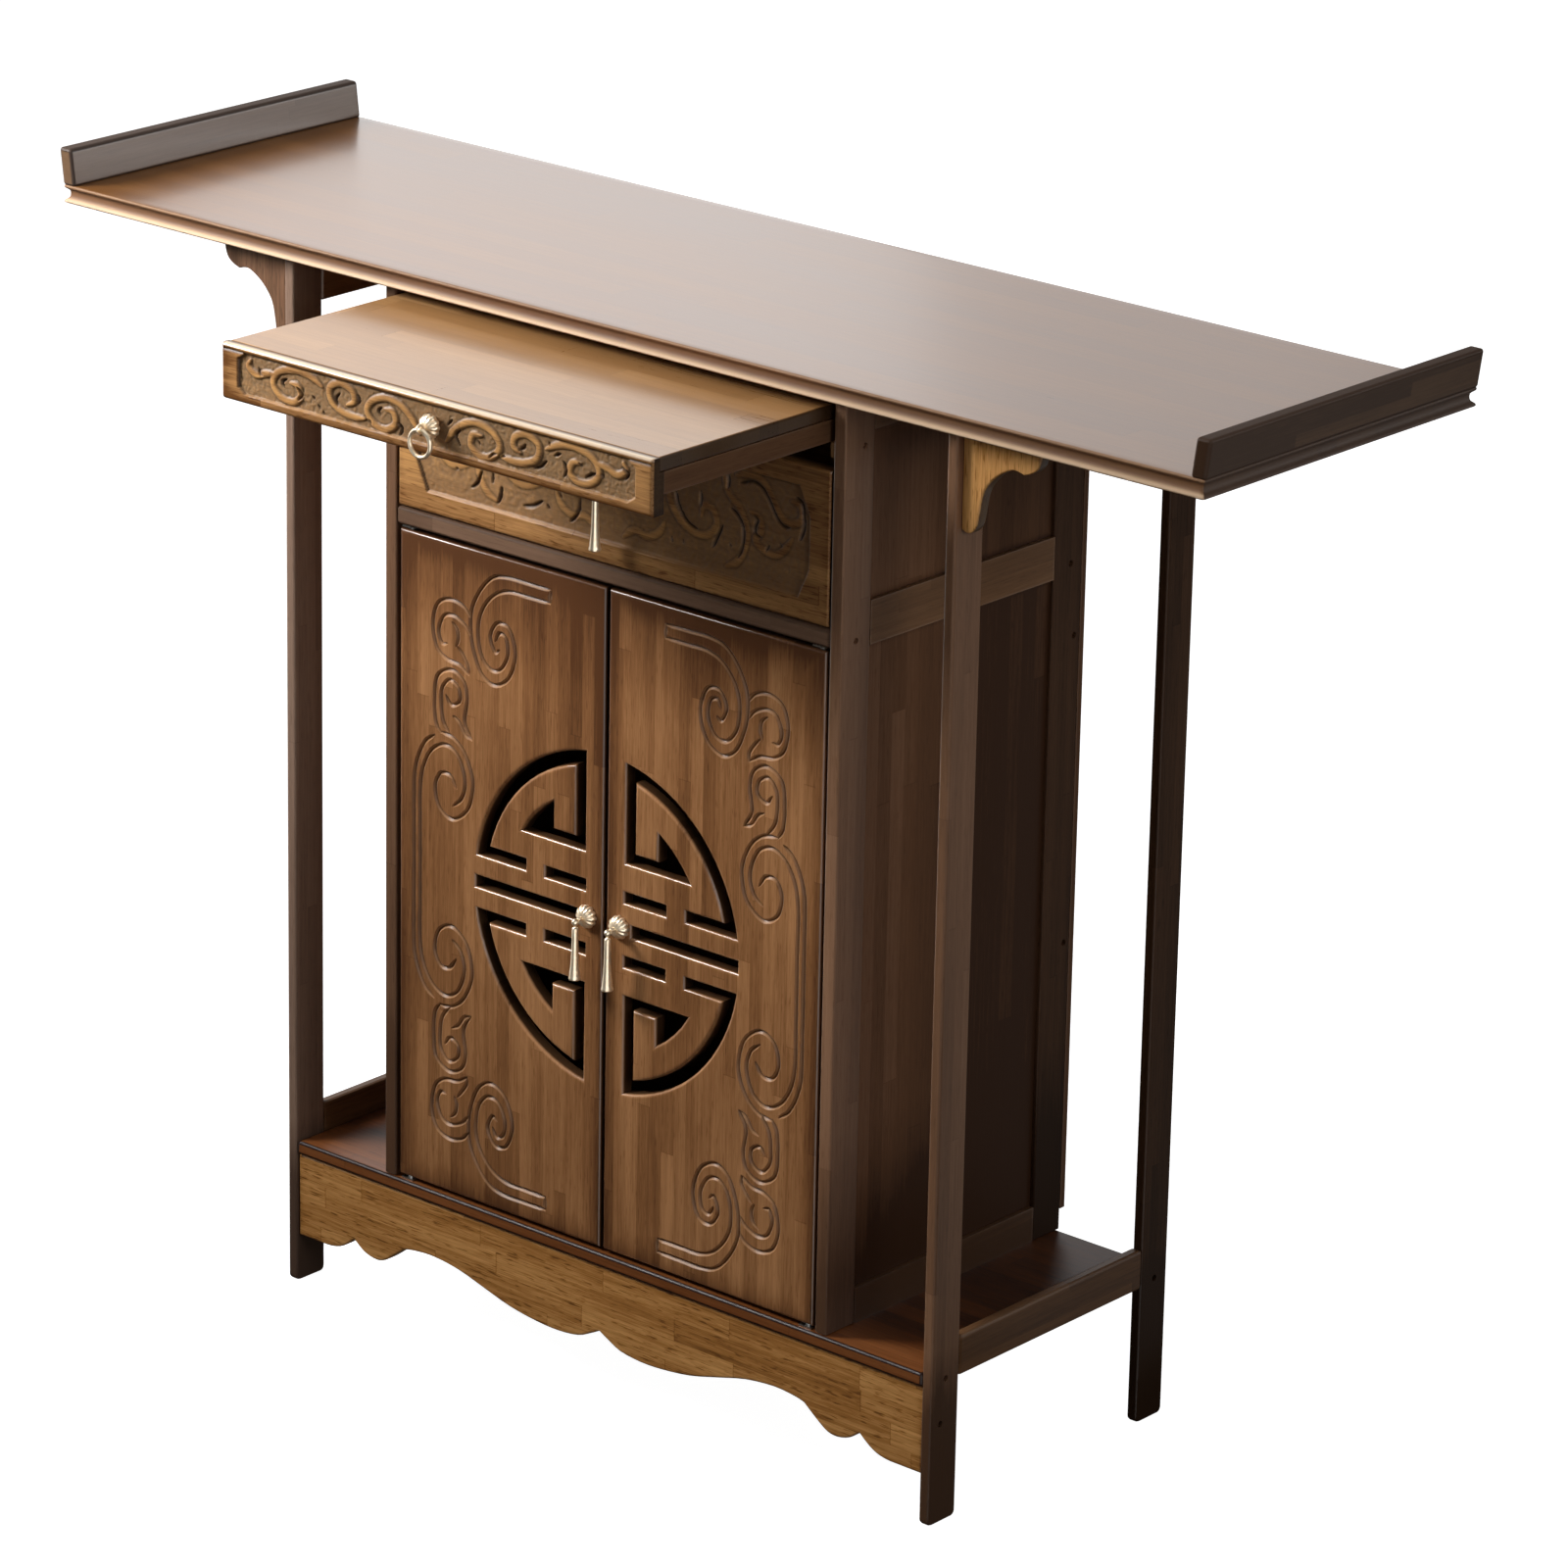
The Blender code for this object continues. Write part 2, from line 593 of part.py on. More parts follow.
def rectangle(u0, u1, v0, v1):
    return [(u0, v0), (u1, v0), (u1, v1), (u0, v1)]


def roundel_fret():
    """The upper half of one door's piercing, about the roundel's centre, as closed outlines.

    One line takes in the upright arm, its foot, the corner that the small arc closes, the big curved slot
    and the short bar at the end of it. The other is the short bar beside the stile.
    """
    inner_radius = ROUNDEL_RADIUS - SLOT
    arm, foot = 0.0570, 0.0665
    bar_low, bar_high = 0.0235, 0.0330
    bar_start = 0.0870
    small = arc(FRET_RADIUS, math.asin(FRET_STEP / FRET_RADIUS), math.acos(FRET_STEP / FRET_RADIUS), 4)
    inside = arc(inner_radius, math.acos(FRET_ARM / inner_radius), math.asin(bar_high / inner_radius), 12)
    outside = arc(ROUNDEL_RADIUS, math.asin(bar_low / ROUNDEL_RADIUS),
                  math.acos(FRET_INNER / ROUNDEL_RADIUS), 16)
    fret = [(FRET_INNER, arm)] + small + [(FRET_STEP, foot), (FRET_ARM, foot)] + inside
    fret += [(bar_start, bar_high), (bar_start, bar_low)] + outside
    short_bar = rectangle(0.0212, 0.0655, 0.0229, 0.0322)
    return [fret, short_bar]


def door(side, sign):
    outlines = [rectangle(DOOR_INNER, DOOR_OUTER, DOOR_BOTTOM, DOOR_TOP)]
    for flip in (1, -1):
        outlines += [[(u, ROUNDEL_HEIGHT + flip * v) for u, v in line] for line in roundel_fret()]
    half_bar = 0.0050
    outlines.append(rectangle(0.0290, 0.1425, ROUNDEL_HEIGHT - half_bar, ROUNDEL_HEIGHT + half_bar))
    outlines = [[(sign * u, v) for u, v in line] for line in outlines]
    middle = DOOR_FRONT + DOOR_THICKNESS / 2
    leaf = solid_outline(side + "_door", outlines, DOOR_THICKNESS, (0.0, middle, 0.0), DOOR_BOARD)
    for level, end in (("lower", DOOR_BOTTOM), ("upper", DOOR_TOP)):
        hole = turned(f"{side}_{level}_hole", [(0.0, PIVOT_DEPTH), (PIVOT_HOLE, PIVOT_DEPTH),
                                               (PIVOT_HOLE, -PIVOT_DEPTH), (0.0, -PIVOT_DEPTH)],
                      (sign * PIVOT_X, middle, end), STEEL, 12)
        combine(leaf, hole, "DIFFERENCE")
    pull = drop_pull(side + "_door", sign * DOOR_PULL_X, DOOR_FRONT, DOOR_PULL_HEIGHT)
    hang_on(side + "_door_hinge_axis", (sign * PIVOT_X, middle, DOOR_BOTTOM), [leaf] + pull)


def door_pivot(side, sign, level, seat, towards_door):
    """A small steel plate on the carcass with a pin that enters the end of the door."""
    middle = DOOR_FRONT + DOOR_THICKNESS / 2
    thickness, half_width, half_depth = 0.0012, 0.0065, 0.0050
    start = seat + towards_door * GAP
    plate_z = sorted((start, start + towards_door * thickness))
    plate = box(f"{side}_door_{level}_pivot", (sign * PIVOT_X - half_width, sign * PIVOT_X + half_width),
                (middle - half_depth, middle + half_depth), plate_z, STEEL)
    tip = {"lower": DOOR_BOTTOM, "upper": DOOR_TOP}[level] + towards_door * (PIVOT_DEPTH - 0.0010)
    pin_z = sorted((start + towards_door * thickness / 2, tip))
    pin = turned(f"{side}_{level}_pin", [(0.0, pin_z[1]), (PIVOT_PIN, pin_z[1]), (PIVOT_PIN, pin_z[0]),
                                         (0.0, pin_z[0])],
                 (sign * PIVOT_X, middle, 0.0), STEEL, 12)
    combine(plate, pin, "UNION")


for side, sign in SIDES.items():
    door(side, sign)
    door_pivot(side, sign, "lower", SHELF_TOP, 1)
    door_pivot(side, sign, "upper", DIVIDER[0], -1)
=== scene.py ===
"""The looks of an altar cabinet table in stained laminated board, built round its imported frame.

Metres, +X along the front, +Y to the back, +Z up. Tables of carving points are in millimetres, as the
distance from the table's middle line and the height above the floor.
"""
import math

import bpy
import numpy as np
from mathutils import Matrix, Vector
from mathutils.geometry import delaunay_2d_cdt


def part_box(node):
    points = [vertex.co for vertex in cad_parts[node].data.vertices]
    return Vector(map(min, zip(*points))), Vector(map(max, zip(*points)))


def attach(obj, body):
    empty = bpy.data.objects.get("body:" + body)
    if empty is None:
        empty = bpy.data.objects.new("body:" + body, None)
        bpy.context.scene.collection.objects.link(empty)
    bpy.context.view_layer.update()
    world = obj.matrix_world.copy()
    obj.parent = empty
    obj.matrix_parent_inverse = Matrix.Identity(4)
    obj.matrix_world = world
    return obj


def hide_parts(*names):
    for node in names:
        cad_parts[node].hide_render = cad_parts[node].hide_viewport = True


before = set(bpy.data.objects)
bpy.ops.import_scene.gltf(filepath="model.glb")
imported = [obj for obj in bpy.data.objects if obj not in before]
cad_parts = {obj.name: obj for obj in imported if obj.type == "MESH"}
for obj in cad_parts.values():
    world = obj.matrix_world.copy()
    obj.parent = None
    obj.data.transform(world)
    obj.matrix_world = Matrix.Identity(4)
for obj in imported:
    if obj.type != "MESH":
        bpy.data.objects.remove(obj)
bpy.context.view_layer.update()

MM = 0.001
SIDES = {"left": -1, "right": 1}


# ---- camera, floor and light ----
# A long lens looks down at the table from its front right corner, over one pale glowing floor. A lamp
# close by on the left is the main light, helped by one on the right, the ceiling and bright walls
# behind. More walls, and a glow of the floor, only show as reflections in the lacquer.

LENS = 157.06
CAMERA_PLACE = Vector((3.4599, -3.8712, 2.3741))
AZIMUTH, ELEVATION, ROLL = math.radians(40.6104), math.radians(18.2947), math.radians(1.1292)
CENTRE_DROP = -0.1      # the lens axis passes above the middle of the frame
FLOOR_SIZE, FLOOR_GREY, FLOOR_GLOW = 30.0, 0.60, 0.96
# how high the look is, from 0 straight down to 1 straight up, and the room's colour there
HORIZON = ((0.44, (0.05, 0.04, 0.03, 1.0)), (0.56, (0.17, 0.17, 0.17, 1.0)))


def camera_turn():
    """Axes of the camera: right is level, up follows from it, and both roll a little about the view."""
    back = Vector((math.sin(AZIMUTH) * math.cos(ELEVATION), -math.cos(AZIMUTH) * math.cos(ELEVATION),
                   math.sin(ELEVATION)))
    level = Vector((math.cos(AZIMUTH), math.sin(AZIMUTH), 0.0))
    upright = back.cross(level)
    right = level * math.cos(ROLL) + upright * math.sin(ROLL)
    up = upright * math.cos(ROLL) - level * math.sin(ROLL)
    return Matrix((right, up, back)).transposed().to_4x4()


lens = bpy.data.cameras.new("camera")
lens.lens = LENS
lens.sensor_width = 36.0
lens.shift_y = CENTRE_DROP
camera = bpy.data.objects.new("camera", lens)
camera.matrix_world = Matrix.Translation(CAMERA_PLACE) @ camera_turn()
bpy.context.scene.collection.objects.link(camera)
bpy.context.scene.camera = camera


def linear(red, green, blue):
    """The linear colour of a stain given by its three display values, from 0 to 255."""
    display = np.array([red, green, blue]) / 255
    low, high = display / 12.92, ((display + 0.055) / 1.055) ** 2.4
    return (*np.where(display <= 0.04045, low, high).tolist(), 1.0)


reach = FLOOR_SIZE / 2
sheet = bpy.data.meshes.new("floor")
sheet.from_pydata([(-reach, -reach, 0), (reach, -reach, 0), (reach, reach, 0), (-reach, reach, 0)], [],
                  [(0, 1, 2, 3)])
pale = bpy.data.materials.new("floor")
pale.use_nodes = True
surface = pale.node_tree.nodes["Principled BSDF"].inputs
surface["Base Color"].default_value = (FLOOR_GREY, FLOOR_GREY, FLOOR_GREY, 1.0)
surface["Roughness"].default_value = 0.9
surface["Emission Color"].default_value = (1.0, 1.0, 1.0, 1.0)
surface["Emission Strength"].default_value = FLOOR_GLOW
sheet.materials.append(pale)
floor = bpy.data.objects.new("floor", sheet)
bpy.context.scene.collection.objects.link(floor)
# the floor lights nothing and shows in no reflection
floor.visible_glossy = floor.visible_diffuse = False


def add_node(tree, kind, inputs=None, **settings):
    """Add a shader node. Each input is a socket to link from, or a value to set."""
    made = tree.nodes.new(kind)
    for name, value in settings.items():
        setattr(made, name, value)
    for name, value in (inputs or {}).items():
        if isinstance(value, bpy.types.NodeSocket):
            tree.links.new(value, made.inputs[name])
        else:
            made.inputs[name].default_value = value
    return made


def maths(tree, operation, first, second=0.0, third=0.0, clamp=False):
    """The result of one sum in a shader, kept between 0 and 1 where it is clamped."""
    made = add_node(tree, "ShaderNodeMath", {0: first, 1: second, 2: third}, operation=operation)
    made.use_clamp = clamp
    return made.outputs[0]


# the room is bright above the horizon and a dim warm brown below it, in place of the floor's own glare
room = bpy.data.worlds.new("room")
room.use_nodes = True
sky = room.node_tree
way = add_node(sky, "ShaderNodeTexCoord").outputs["Generated"]
rise = add_node(sky, "ShaderNodeSeparateXYZ", {0: way}).outputs["Z"]
shade = add_node(sky, "ShaderNodeValToRGB", {0: maths(sky, "MULTIPLY_ADD", rise, 0.5, 0.5)})
for stop, (height, colour) in zip(shade.color_ramp.elements, HORIZON):
    stop.position, stop.color = height, colour
sky.links.new(shade.outputs["Color"], sky.nodes["Background"].inputs["Color"])
bpy.context.scene.world = room
bpy.context.scene.view_settings.view_transform = "Standard"


def soft_lamp(name, place, aim, size, power, shape="RECTANGLE", spread=180):
    """A glowing panel that faces the point it is aimed at. A narrow spread fades to the sides."""
    source = bpy.data.lights.new(name, "AREA")
    source.shape, source.energy, source.spread = shape, power, math.radians(spread)
    source.size, source.size_y = size
    holder = bpy.data.objects.new(name, source)
    holder.location = place
    holder.rotation_euler = (Vector(aim) - Vector(place)).to_track_quat("-Z", "Y").to_euler()
    holder.visible_camera = False
    bpy.context.scene.collection.objects.link(holder)
    return holder


soft_lamp("main lamp", (-1.24, -0.88, 1.54), (-0.12, -0.1, 0.84), (0.6, 0.6), 9.2, "ELLIPSE", 80)
soft_lamp("right lamp", (1.9, -0.5, 1.35), (0.25, 0.0, 0.85), (1.0, 1.0), 1.25, "ELLIPSE", 62)
soft_lamp("ceiling", (0.0, 0.1, 3.2), (0.0, 0.1, 0.0), (3.0, 3.0), 24.0)
soft_lamp("left back wall", (-2.72, 3.30, 2.1), (0.38, 0.40, 0.9), (2.1, 2.4), 14.5)
soft_lamp("left back window", (-2.96, 3.05, 2.1), (0.14, 0.15, 0.9), (1.15, 2.4), 6.0)
side_wall = soft_lamp("right back wall", (2.6, 2.4, 1.2), (0.0, 0.0, 0.9), (3.2, 0.9), 27.0)
front_wall = soft_lamp("front wall", (2.6, -2.9, -0.3), (0.0, 0.0, 0.3), (4.0, 4.0), 85.0)
floor_glow = soft_lamp("floor on the right", (1.4, 1.2, 0.02), (1.4, 1.2, 1.0), (2.0, 2.0), 3.0)
left_wall = soft_lamp("left wall", (-3.2, -0.7, 0.3), (0.0, -0.05, 0.4), (1.6, 2.4), 12.0)
for wall in (side_wall, front_wall, floor_glow, left_wall):
    wall.visible_diffuse = False


# ---- legs and posts ----
# Four board legs carry the top, and four posts make the corners of the cabinet. Like the whole table
# they are laminated board: narrow strips glued side by side, jointed end to end, stained and lacquered.

def socket(tree, name, kind, out=False, value=None):
    """A named input of a node group, or an output of it."""
    made = tree.interface.new_socket(name, in_out="OUTPUT" if out else "INPUT",
                                     socket_type="NodeSocket" + kind)
    if value is not None:
        made.default_value = value


BLOCK_LEAST, BLOCK_SPREAD = 0.7, 0.6        # a block is 0.7 to 1.3 times its usual length
STRIP_SHIFT = 7.3       # most blocks that a strip is shifted along
NOISE_SHIFT = 11.0, 23.0                    # how far the noise moves, along and across, between blocks
STRIP_SEAM, BLOCK_SEAM = 0.0005, 0.0007     # half widths of the glue lines
SEAM_SHARE = 0.35       # how dark the line between two strips is, beside that between two blocks
# waves to the metre along and across the strips, detail, and roughness
GRAIN, FIBRE = (9.0, 300.0, 5.0, 0.68), (45.0, 1300.0, 2.0, 0.60)
FLECKS, CLOUDS = (70.0, 620.0, 1.0, 0.50), (3.5, 9.0, 3.0, 0.55)
FIBRE_TONE, FIBRE_HEIGHT = 0.6, 0.5         # beside the grain's
FLECK_START, FLECK_GAIN = 0.10, 7.0


def strip_board_group():
    """Tone of laminated strips, from the distance along, across and through the board.

    The strip's number is the whole part of across / width, and the block's number the whole part of
    along / length, shifted at random in each strip. Each block has its own tone; stretched noise adds
    the grain and the dark flecks, broad noise the cloudy stain, and the glue lines are the places next
    to whole numbers.
    """
    tree = bpy.data.node_groups.new("strip board", "ShaderNodeTree")
    for name, value in (("Along", 0.0), ("Across", 0.0), ("Through", 0.0), ("Strip Width", 0.012),
                        ("Block Length", 0.3), ("Strip Contrast", 0.5), ("Grain Contrast", 0.5),
                        ("Fleck Contrast", 0.3), ("Cloud Contrast", 0.3), ("Seam Depth", 0.4), ("Seed", 0.0)):
        socket(tree, name, "Float", value=value)
    for name in ("Tone", "Height"):
        socket(tree, name, "Float", out=True)
    given = tree.nodes.new("NodeGroupInput").outputs
    strips = maths(tree, "DIVIDE", given["Across"], given["Strip Width"])
    strip_number = maths(tree, "FLOOR", strips)
    shift = add_node(tree, "ShaderNodeTexWhiteNoise", {"W": maths(tree, "ADD", strip_number, given["Seed"])},
                     noise_dimensions="1D").outputs["Value"]
    stretch = maths(tree, "MULTIPLY_ADD", shift, BLOCK_SPREAD, BLOCK_LEAST)
    blocks = maths(tree, "DIVIDE", given["Along"], maths(tree, "MULTIPLY", given["Block Length"], stretch))
    blocks = maths(tree, "MULTIPLY_ADD", shift, STRIP_SHIFT, blocks)
    block_number = maths(tree, "FLOOR", blocks)
    pair = add_node(tree, "ShaderNodeCombineXYZ", {0: strip_number, 1: block_number, 2: given["Seed"]})
    chance = add_node(tree, "ShaderNodeTexWhiteNoise", {"Vector": pair.outputs[0]},
                      noise_dimensions="3D").outputs["Value"]

    def stretched_noise(waves, offset):
        """Noise about nothing, drawn out along the strips and moved to its own place in each block."""
        along, across, detail, roughness = waves
        moved = [maths(tree, "MULTIPLY", offset, far) for far in NOISE_SHIFT]
        place = add_node(tree, "ShaderNodeCombineXYZ", {
            0: maths(tree, "MULTIPLY_ADD", given["Along"], along, moved[0]),
            1: maths(tree, "MULTIPLY_ADD", given["Across"], across, moved[1]),
            2: maths(tree, "MULTIPLY_ADD", given["Through"], across, given["Seed"])})
        noise = add_node(tree, "ShaderNodeTexNoise", {"Vector": place.outputs[0], "Scale": 1.0,
                                                      "Detail": detail, "Roughness": roughness})
        return maths(tree, "SUBTRACT", noise.outputs["Fac"], 0.5)

    grain, fibre, fleck = (stretched_noise(waves, chance) for waves in (GRAIN, FIBRE, FLECKS))
    fleck = maths(tree, "MULTIPLY", maths(tree, "SUBTRACT", fleck, FLECK_START), FLECK_GAIN, clamp=True)
    cloud = stretched_noise(CLOUDS, given["Seed"])

    def near_whole(value, size, width):
        """One beside a whole number of strips or blocks, and nothing a width away from it."""
        part = maths(tree, "FRACT", value)
        close = maths(tree, "MINIMUM", part, maths(tree, "SUBTRACT", 1.0, part))
        distance = maths(tree, "MULTIPLY", close, size)
        return maths(tree, "SUBTRACT", 1.0, maths(tree, "DIVIDE", distance, width), clamp=True)

    strip_seam = near_whole(strips, given["Strip Width"], STRIP_SEAM)
    strip_seam = maths(tree, "MULTIPLY", strip_seam, SEAM_SHARE)
    seam = maths(tree, "MAXIMUM", strip_seam, near_whole(blocks, given["Block Length"], BLOCK_SEAM))
    tone = maths(tree, "SUBTRACT", chance, 0.5)
    total = maths(tree, "MULTIPLY_ADD", tone, given["Strip Contrast"], 0.5)
    total = maths(tree, "MULTIPLY_ADD", grain, given["Grain Contrast"], total)
    fibre_contrast = maths(tree, "MULTIPLY", given["Grain Contrast"], FIBRE_TONE)
    total = maths(tree, "MULTIPLY_ADD", fibre, fibre_contrast, total)
    total = maths(tree, "MULTIPLY_ADD", cloud, given["Cloud Contrast"], total)
    total = maths(tree, "SUBTRACT", total, maths(tree, "MULTIPLY", fleck, given["Fleck Contrast"]))
    lowered = maths(tree, "MULTIPLY", seam, given["Seam Depth"])
    total = maths(tree, "SUBTRACT", total, lowered, clamp=True)
    height = maths(tree, "ADD", grain, maths(tree, "MULTIPLY", fibre, FIBRE_HEIGHT))
    height = maths(tree, "SUBTRACT", height, lowered)
    result = tree.nodes.new("NodeGroupOutput")
    tree.links.new(total, result.inputs["Tone"])
    tree.links.new(height, result.inputs["Height"])
    return tree


def board_edge_group():
    """One along a board's edges and nothing on its open faces.

    On a face the smallest of the three distances to the box is nothing and the middle one is the
    distance to the nearest edge, which fades over the given width.
    """
    tree = bpy.data.node_groups.new("board edge", "ShaderNodeTree")
    socket(tree, "Place", "Vector")
    socket(tree, "Low", "Vector", value=(0, 0, 0))
    socket(tree, "High", "Vector", value=(1, 1, 1))
    for name in ("Margin Width", "Rim Width"):
        socket(tree, name, "Float", value=0.01)
    for name in ("Margin", "Rim"):
        socket(tree, name, "Float", out=True)
    given = tree.nodes.new("NodeGroupInput").outputs

    def vectors(operation, first, second):
        """The result of one sum of two vectors."""
        return add_node(tree, "ShaderNodeVectorMath", {0: first, 1: second}, operation=operation).outputs[0]

    least = vectors("MINIMUM", vectors("SUBTRACT", given["Place"], given["Low"]),
                    vectors("SUBTRACT", given["High"], given["Place"]))
    x, y, z = add_node(tree, "ShaderNodeSeparateXYZ", {0: least}).outputs
    smallest = maths(tree, "MINIMUM", x, maths(tree, "MINIMUM", y, z))
    largest = maths(tree, "MAXIMUM", x, maths(tree, "MAXIMUM", y, z))
    total = maths(tree, "ADD", x, maths(tree, "ADD", y, z))
    middle = maths(tree, "SUBTRACT", maths(tree, "SUBTRACT", total, smallest), largest)
    result = tree.nodes.new("NodeGroupOutput")
    for name in ("Margin", "Rim"):
        share = maths(tree, "DIVIDE", middle, given[name + " Width"])
        share = maths(tree, "SUBTRACT", 1.0, share, clamp=True)
        tree.links.new(maths(tree, "MULTIPLY", share, share), result.inputs[name])
    return tree


STRIP_BOARD = strip_board_group()
BOARD_EDGE = board_edge_group()
STAIN = dict(strip=0.010, block=0.40, strips=0.20, grain=0.4, flecks=0.10, clouds=0.30, seam=0.12,
             margin=0.012, margin_tone=0.0, rim=0.0022, rim_tone=0.15, rim_coat=0.6, roughness=0.40,
             specular=0.20, coat=0.0, bump=0.25, cut=0.3, ground=None, raised=0.0, rubbed=None,
             rim_dull=0.0, lift=0.0, shades=())
# the colour that the cut mark mixes in: painted shade in cuts, and on walls, edges and ends out of the light
PAINTED_SHADE_COLOUR = linear(24, 13, 8)
GROUND_SHARE = 0.75
GRAIN_RELIEF = 0.0004
LACQUER_ROUGHNESS, LACQUER_IOR = 0.16, 1.8


def stained(dark, mid, pale, **settings):
    """Settings of a stain: its three tones as display values, and whatever else sets it apart."""
    return dict(dark=linear(*dark), mid=linear(*mid), pale=linear(*pale), **settings)


def drawn_mark(tree, name):
    """A mark that the mesh carries at each point, such as how deep it is cut there."""
    return add_node(tree, "ShaderNodeAttribute", attribute_name=name).outputs["Fac"]


def mixed(tree, share, first, second):
    """Two colours mixed by a share."""
    return add_node(tree, "ShaderNodeMix", {0: share, 6: first, 7: second}, data_type="RGBA").outputs[2]


def board_finish(name, box, along, across, stain, **changes):
    """A stained board: tone from its strips and edges, colour from three stains, and lacquer on top.

    Painted shade darkens the board where its mesh marks it: towards the bottom of a cut, and on walls,
    edges and ends out of the light. Carving takes the ground's colour in a sunk panel, turns paler where a
    scroll stands up from it, and takes the colour of wear and painted highlight where the mesh marks that.
    Each shade, painted light or shade along an axis, is the axis, where it starts and where it is full,
    and how much it adds to the tone. The lift raises or lowers the whole tone, on some boards for the
    light or shade they stand in.
    """
    stain = {**STAIN, **stain, **changes}
    finish = bpy.data.materials.new(name)
    finish.use_nodes = True
    tree = finish.node_tree
    shader = tree.nodes["Principled BSDF"]
    place = add_node(tree, "ShaderNodeTexCoord").outputs["Object"]
    apart = add_node(tree, "ShaderNodeSeparateXYZ", {0: place}).outputs
    through = ({"X", "Y", "Z"} - {along, across}).pop()
    board = add_node(tree, "ShaderNodeGroup", node_tree=STRIP_BOARD)
    values = {"Strip Width": "strip", "Block Length": "block", "Strip Contrast": "strips",
              "Grain Contrast": "grain", "Fleck Contrast": "flecks", "Cloud Contrast": "clouds",
              "Seam Depth": "seam"}
    for socket_name, key in values.items():
        board.inputs[socket_name].default_value = stain[key]
    seed = sum(ord(letter) * number for number, letter in enumerate(name, 3)) % 97
    board.inputs["Seed"].default_value = seed
    for socket_name, axis in (("Along", along), ("Across", across), ("Through", through)):
        tree.links.new(apart[axis], board.inputs[socket_name])
    edge = add_node(tree, "ShaderNodeGroup", node_tree=BOARD_EDGE)
    tree.links.new(place, edge.inputs["Place"])
    edge.inputs["Low"].default_value, edge.inputs["High"].default_value = box
    edge.inputs["Margin Width"].default_value = stain["margin"]
    edge.inputs["Rim Width"].default_value = max(stain["rim"], 1e-5)
    rim = maths(tree, "MULTIPLY", edge.outputs["Rim"], float(stain["rim"] > 0))
    rim = maths(tree, "MAXIMUM", drawn_mark(tree, "rim"), rim)
    tone = maths(tree, "MULTIPLY_ADD", edge.outputs["Margin"], stain["margin_tone"], board.outputs["Tone"])
    tone = maths(tree, "MULTIPLY_ADD", rim, stain["rim_tone"], tone)
    tone = maths(tree, "ADD", tone, stain["lift"])
    for axis, start, full, amount in stain["shades"]:
        fade = add_node(tree, "ShaderNodeMapRange", {"Value": apart[axis], "From Min": start,
                                                     "From Max": full, "To Min": 0.0, "To Max": amount})
        tone = maths(tree, "ADD", tone, fade.outputs[0])
    if stain["ground"]:
        tone = maths(tree, "MULTIPLY_ADD", drawn_mark(tree, "raised"), stain["raised"], tone)
    ramp = add_node(tree, "ShaderNodeValToRGB", {0: tone})
    ends = ramp.color_ramp.elements
    ends[0].position, ends[0].color = 0.10, stain["dark"]
    ends[1].position, ends[1].color = 0.90, stain["pale"]
    ends.new(0.5).color = stain["mid"]
    colour = ramp.outputs["Color"]
    if stain["ground"]:
        sunk = maths(tree, "MULTIPLY", drawn_mark(tree, "ground"), GROUND_SHARE)
        colour = mixed(tree, sunk, colour, stain["ground"])
    if stain["rubbed"]:
        colour = mixed(tree, drawn_mark(tree, "worn_and_highlit"), colour, stain["rubbed"])
    # painted shade: the cut mark darkens the board towards the shade colour
    cut = maths(tree, "MULTIPLY", drawn_mark(tree, "cut"), stain["cut"])
    tree.links.new(mixed(tree, cut, colour, PAINTED_SHADE_COLOUR), shader.inputs["Base Color"])
    gloss = maths(tree, "MULTIPLY_ADD", board.outputs["Tone"], 0.12, stain["roughness"] - 0.06)
    gloss = maths(tree, "MULTIPLY_ADD", rim, stain["rim_dull"], gloss)
    tree.links.new(gloss, shader.inputs["Roughness"])
    coat = maths(tree, "MULTIPLY_ADD", rim, stain["rim_coat"], stain["coat"], clamp=True)
    tree.links.new(coat, shader.inputs["Coat Weight"])
    relief = add_node(tree, "ShaderNodeBump", {"Strength": stain["bump"], "Distance": GRAIN_RELIEF,
                                               "Height": board.outputs["Height"]})
    tree.links.new(relief.outputs["Normal"], shader.inputs["Normal"])
    shader.inputs["Specular IOR Level"].default_value = stain["specular"]
    shader.inputs["Coat Roughness"].default_value = LACQUER_ROUGHNESS
    shader.inputs["Coat IOR"].default_value = LACQUER_IOR
    return finish


def dress(node, finish):
    """Give a frame node its finish."""
    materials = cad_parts[node].data.materials
    materials.clear()
    materials.append(finish)


def dress_board(node, along, across, stain, **changes):
    """Give a frame node a stained board's finish, fitted to its box."""
    dress(node, board_finish(node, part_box(node), along, across, stain, **changes))


FRONT_STAIN = stained((84, 58, 40), (128, 93, 68), (162, 124, 96), specular=0.3)
GREY_STAIN = stained((82, 62, 50), (125, 100, 84), (158, 131, 112), specular=0.3)
# a darker copy of the stain: painted shade for the back uprights and the tray's rails, which stand out of the
# light
SHADE_DARKENED_STAIN = stained((52, 34, 21), (88, 61, 42), (118, 85, 60), specular=0.08)
# painted shade towards the floor: the axis, where it starts, where it is full, and how much it takes off the
# tone
FOOT_SHADE = ("Z", 0.150, 0.090, -0.55)
LOW_SHADE = ("Z", 0.300, 0.170, -0.45)

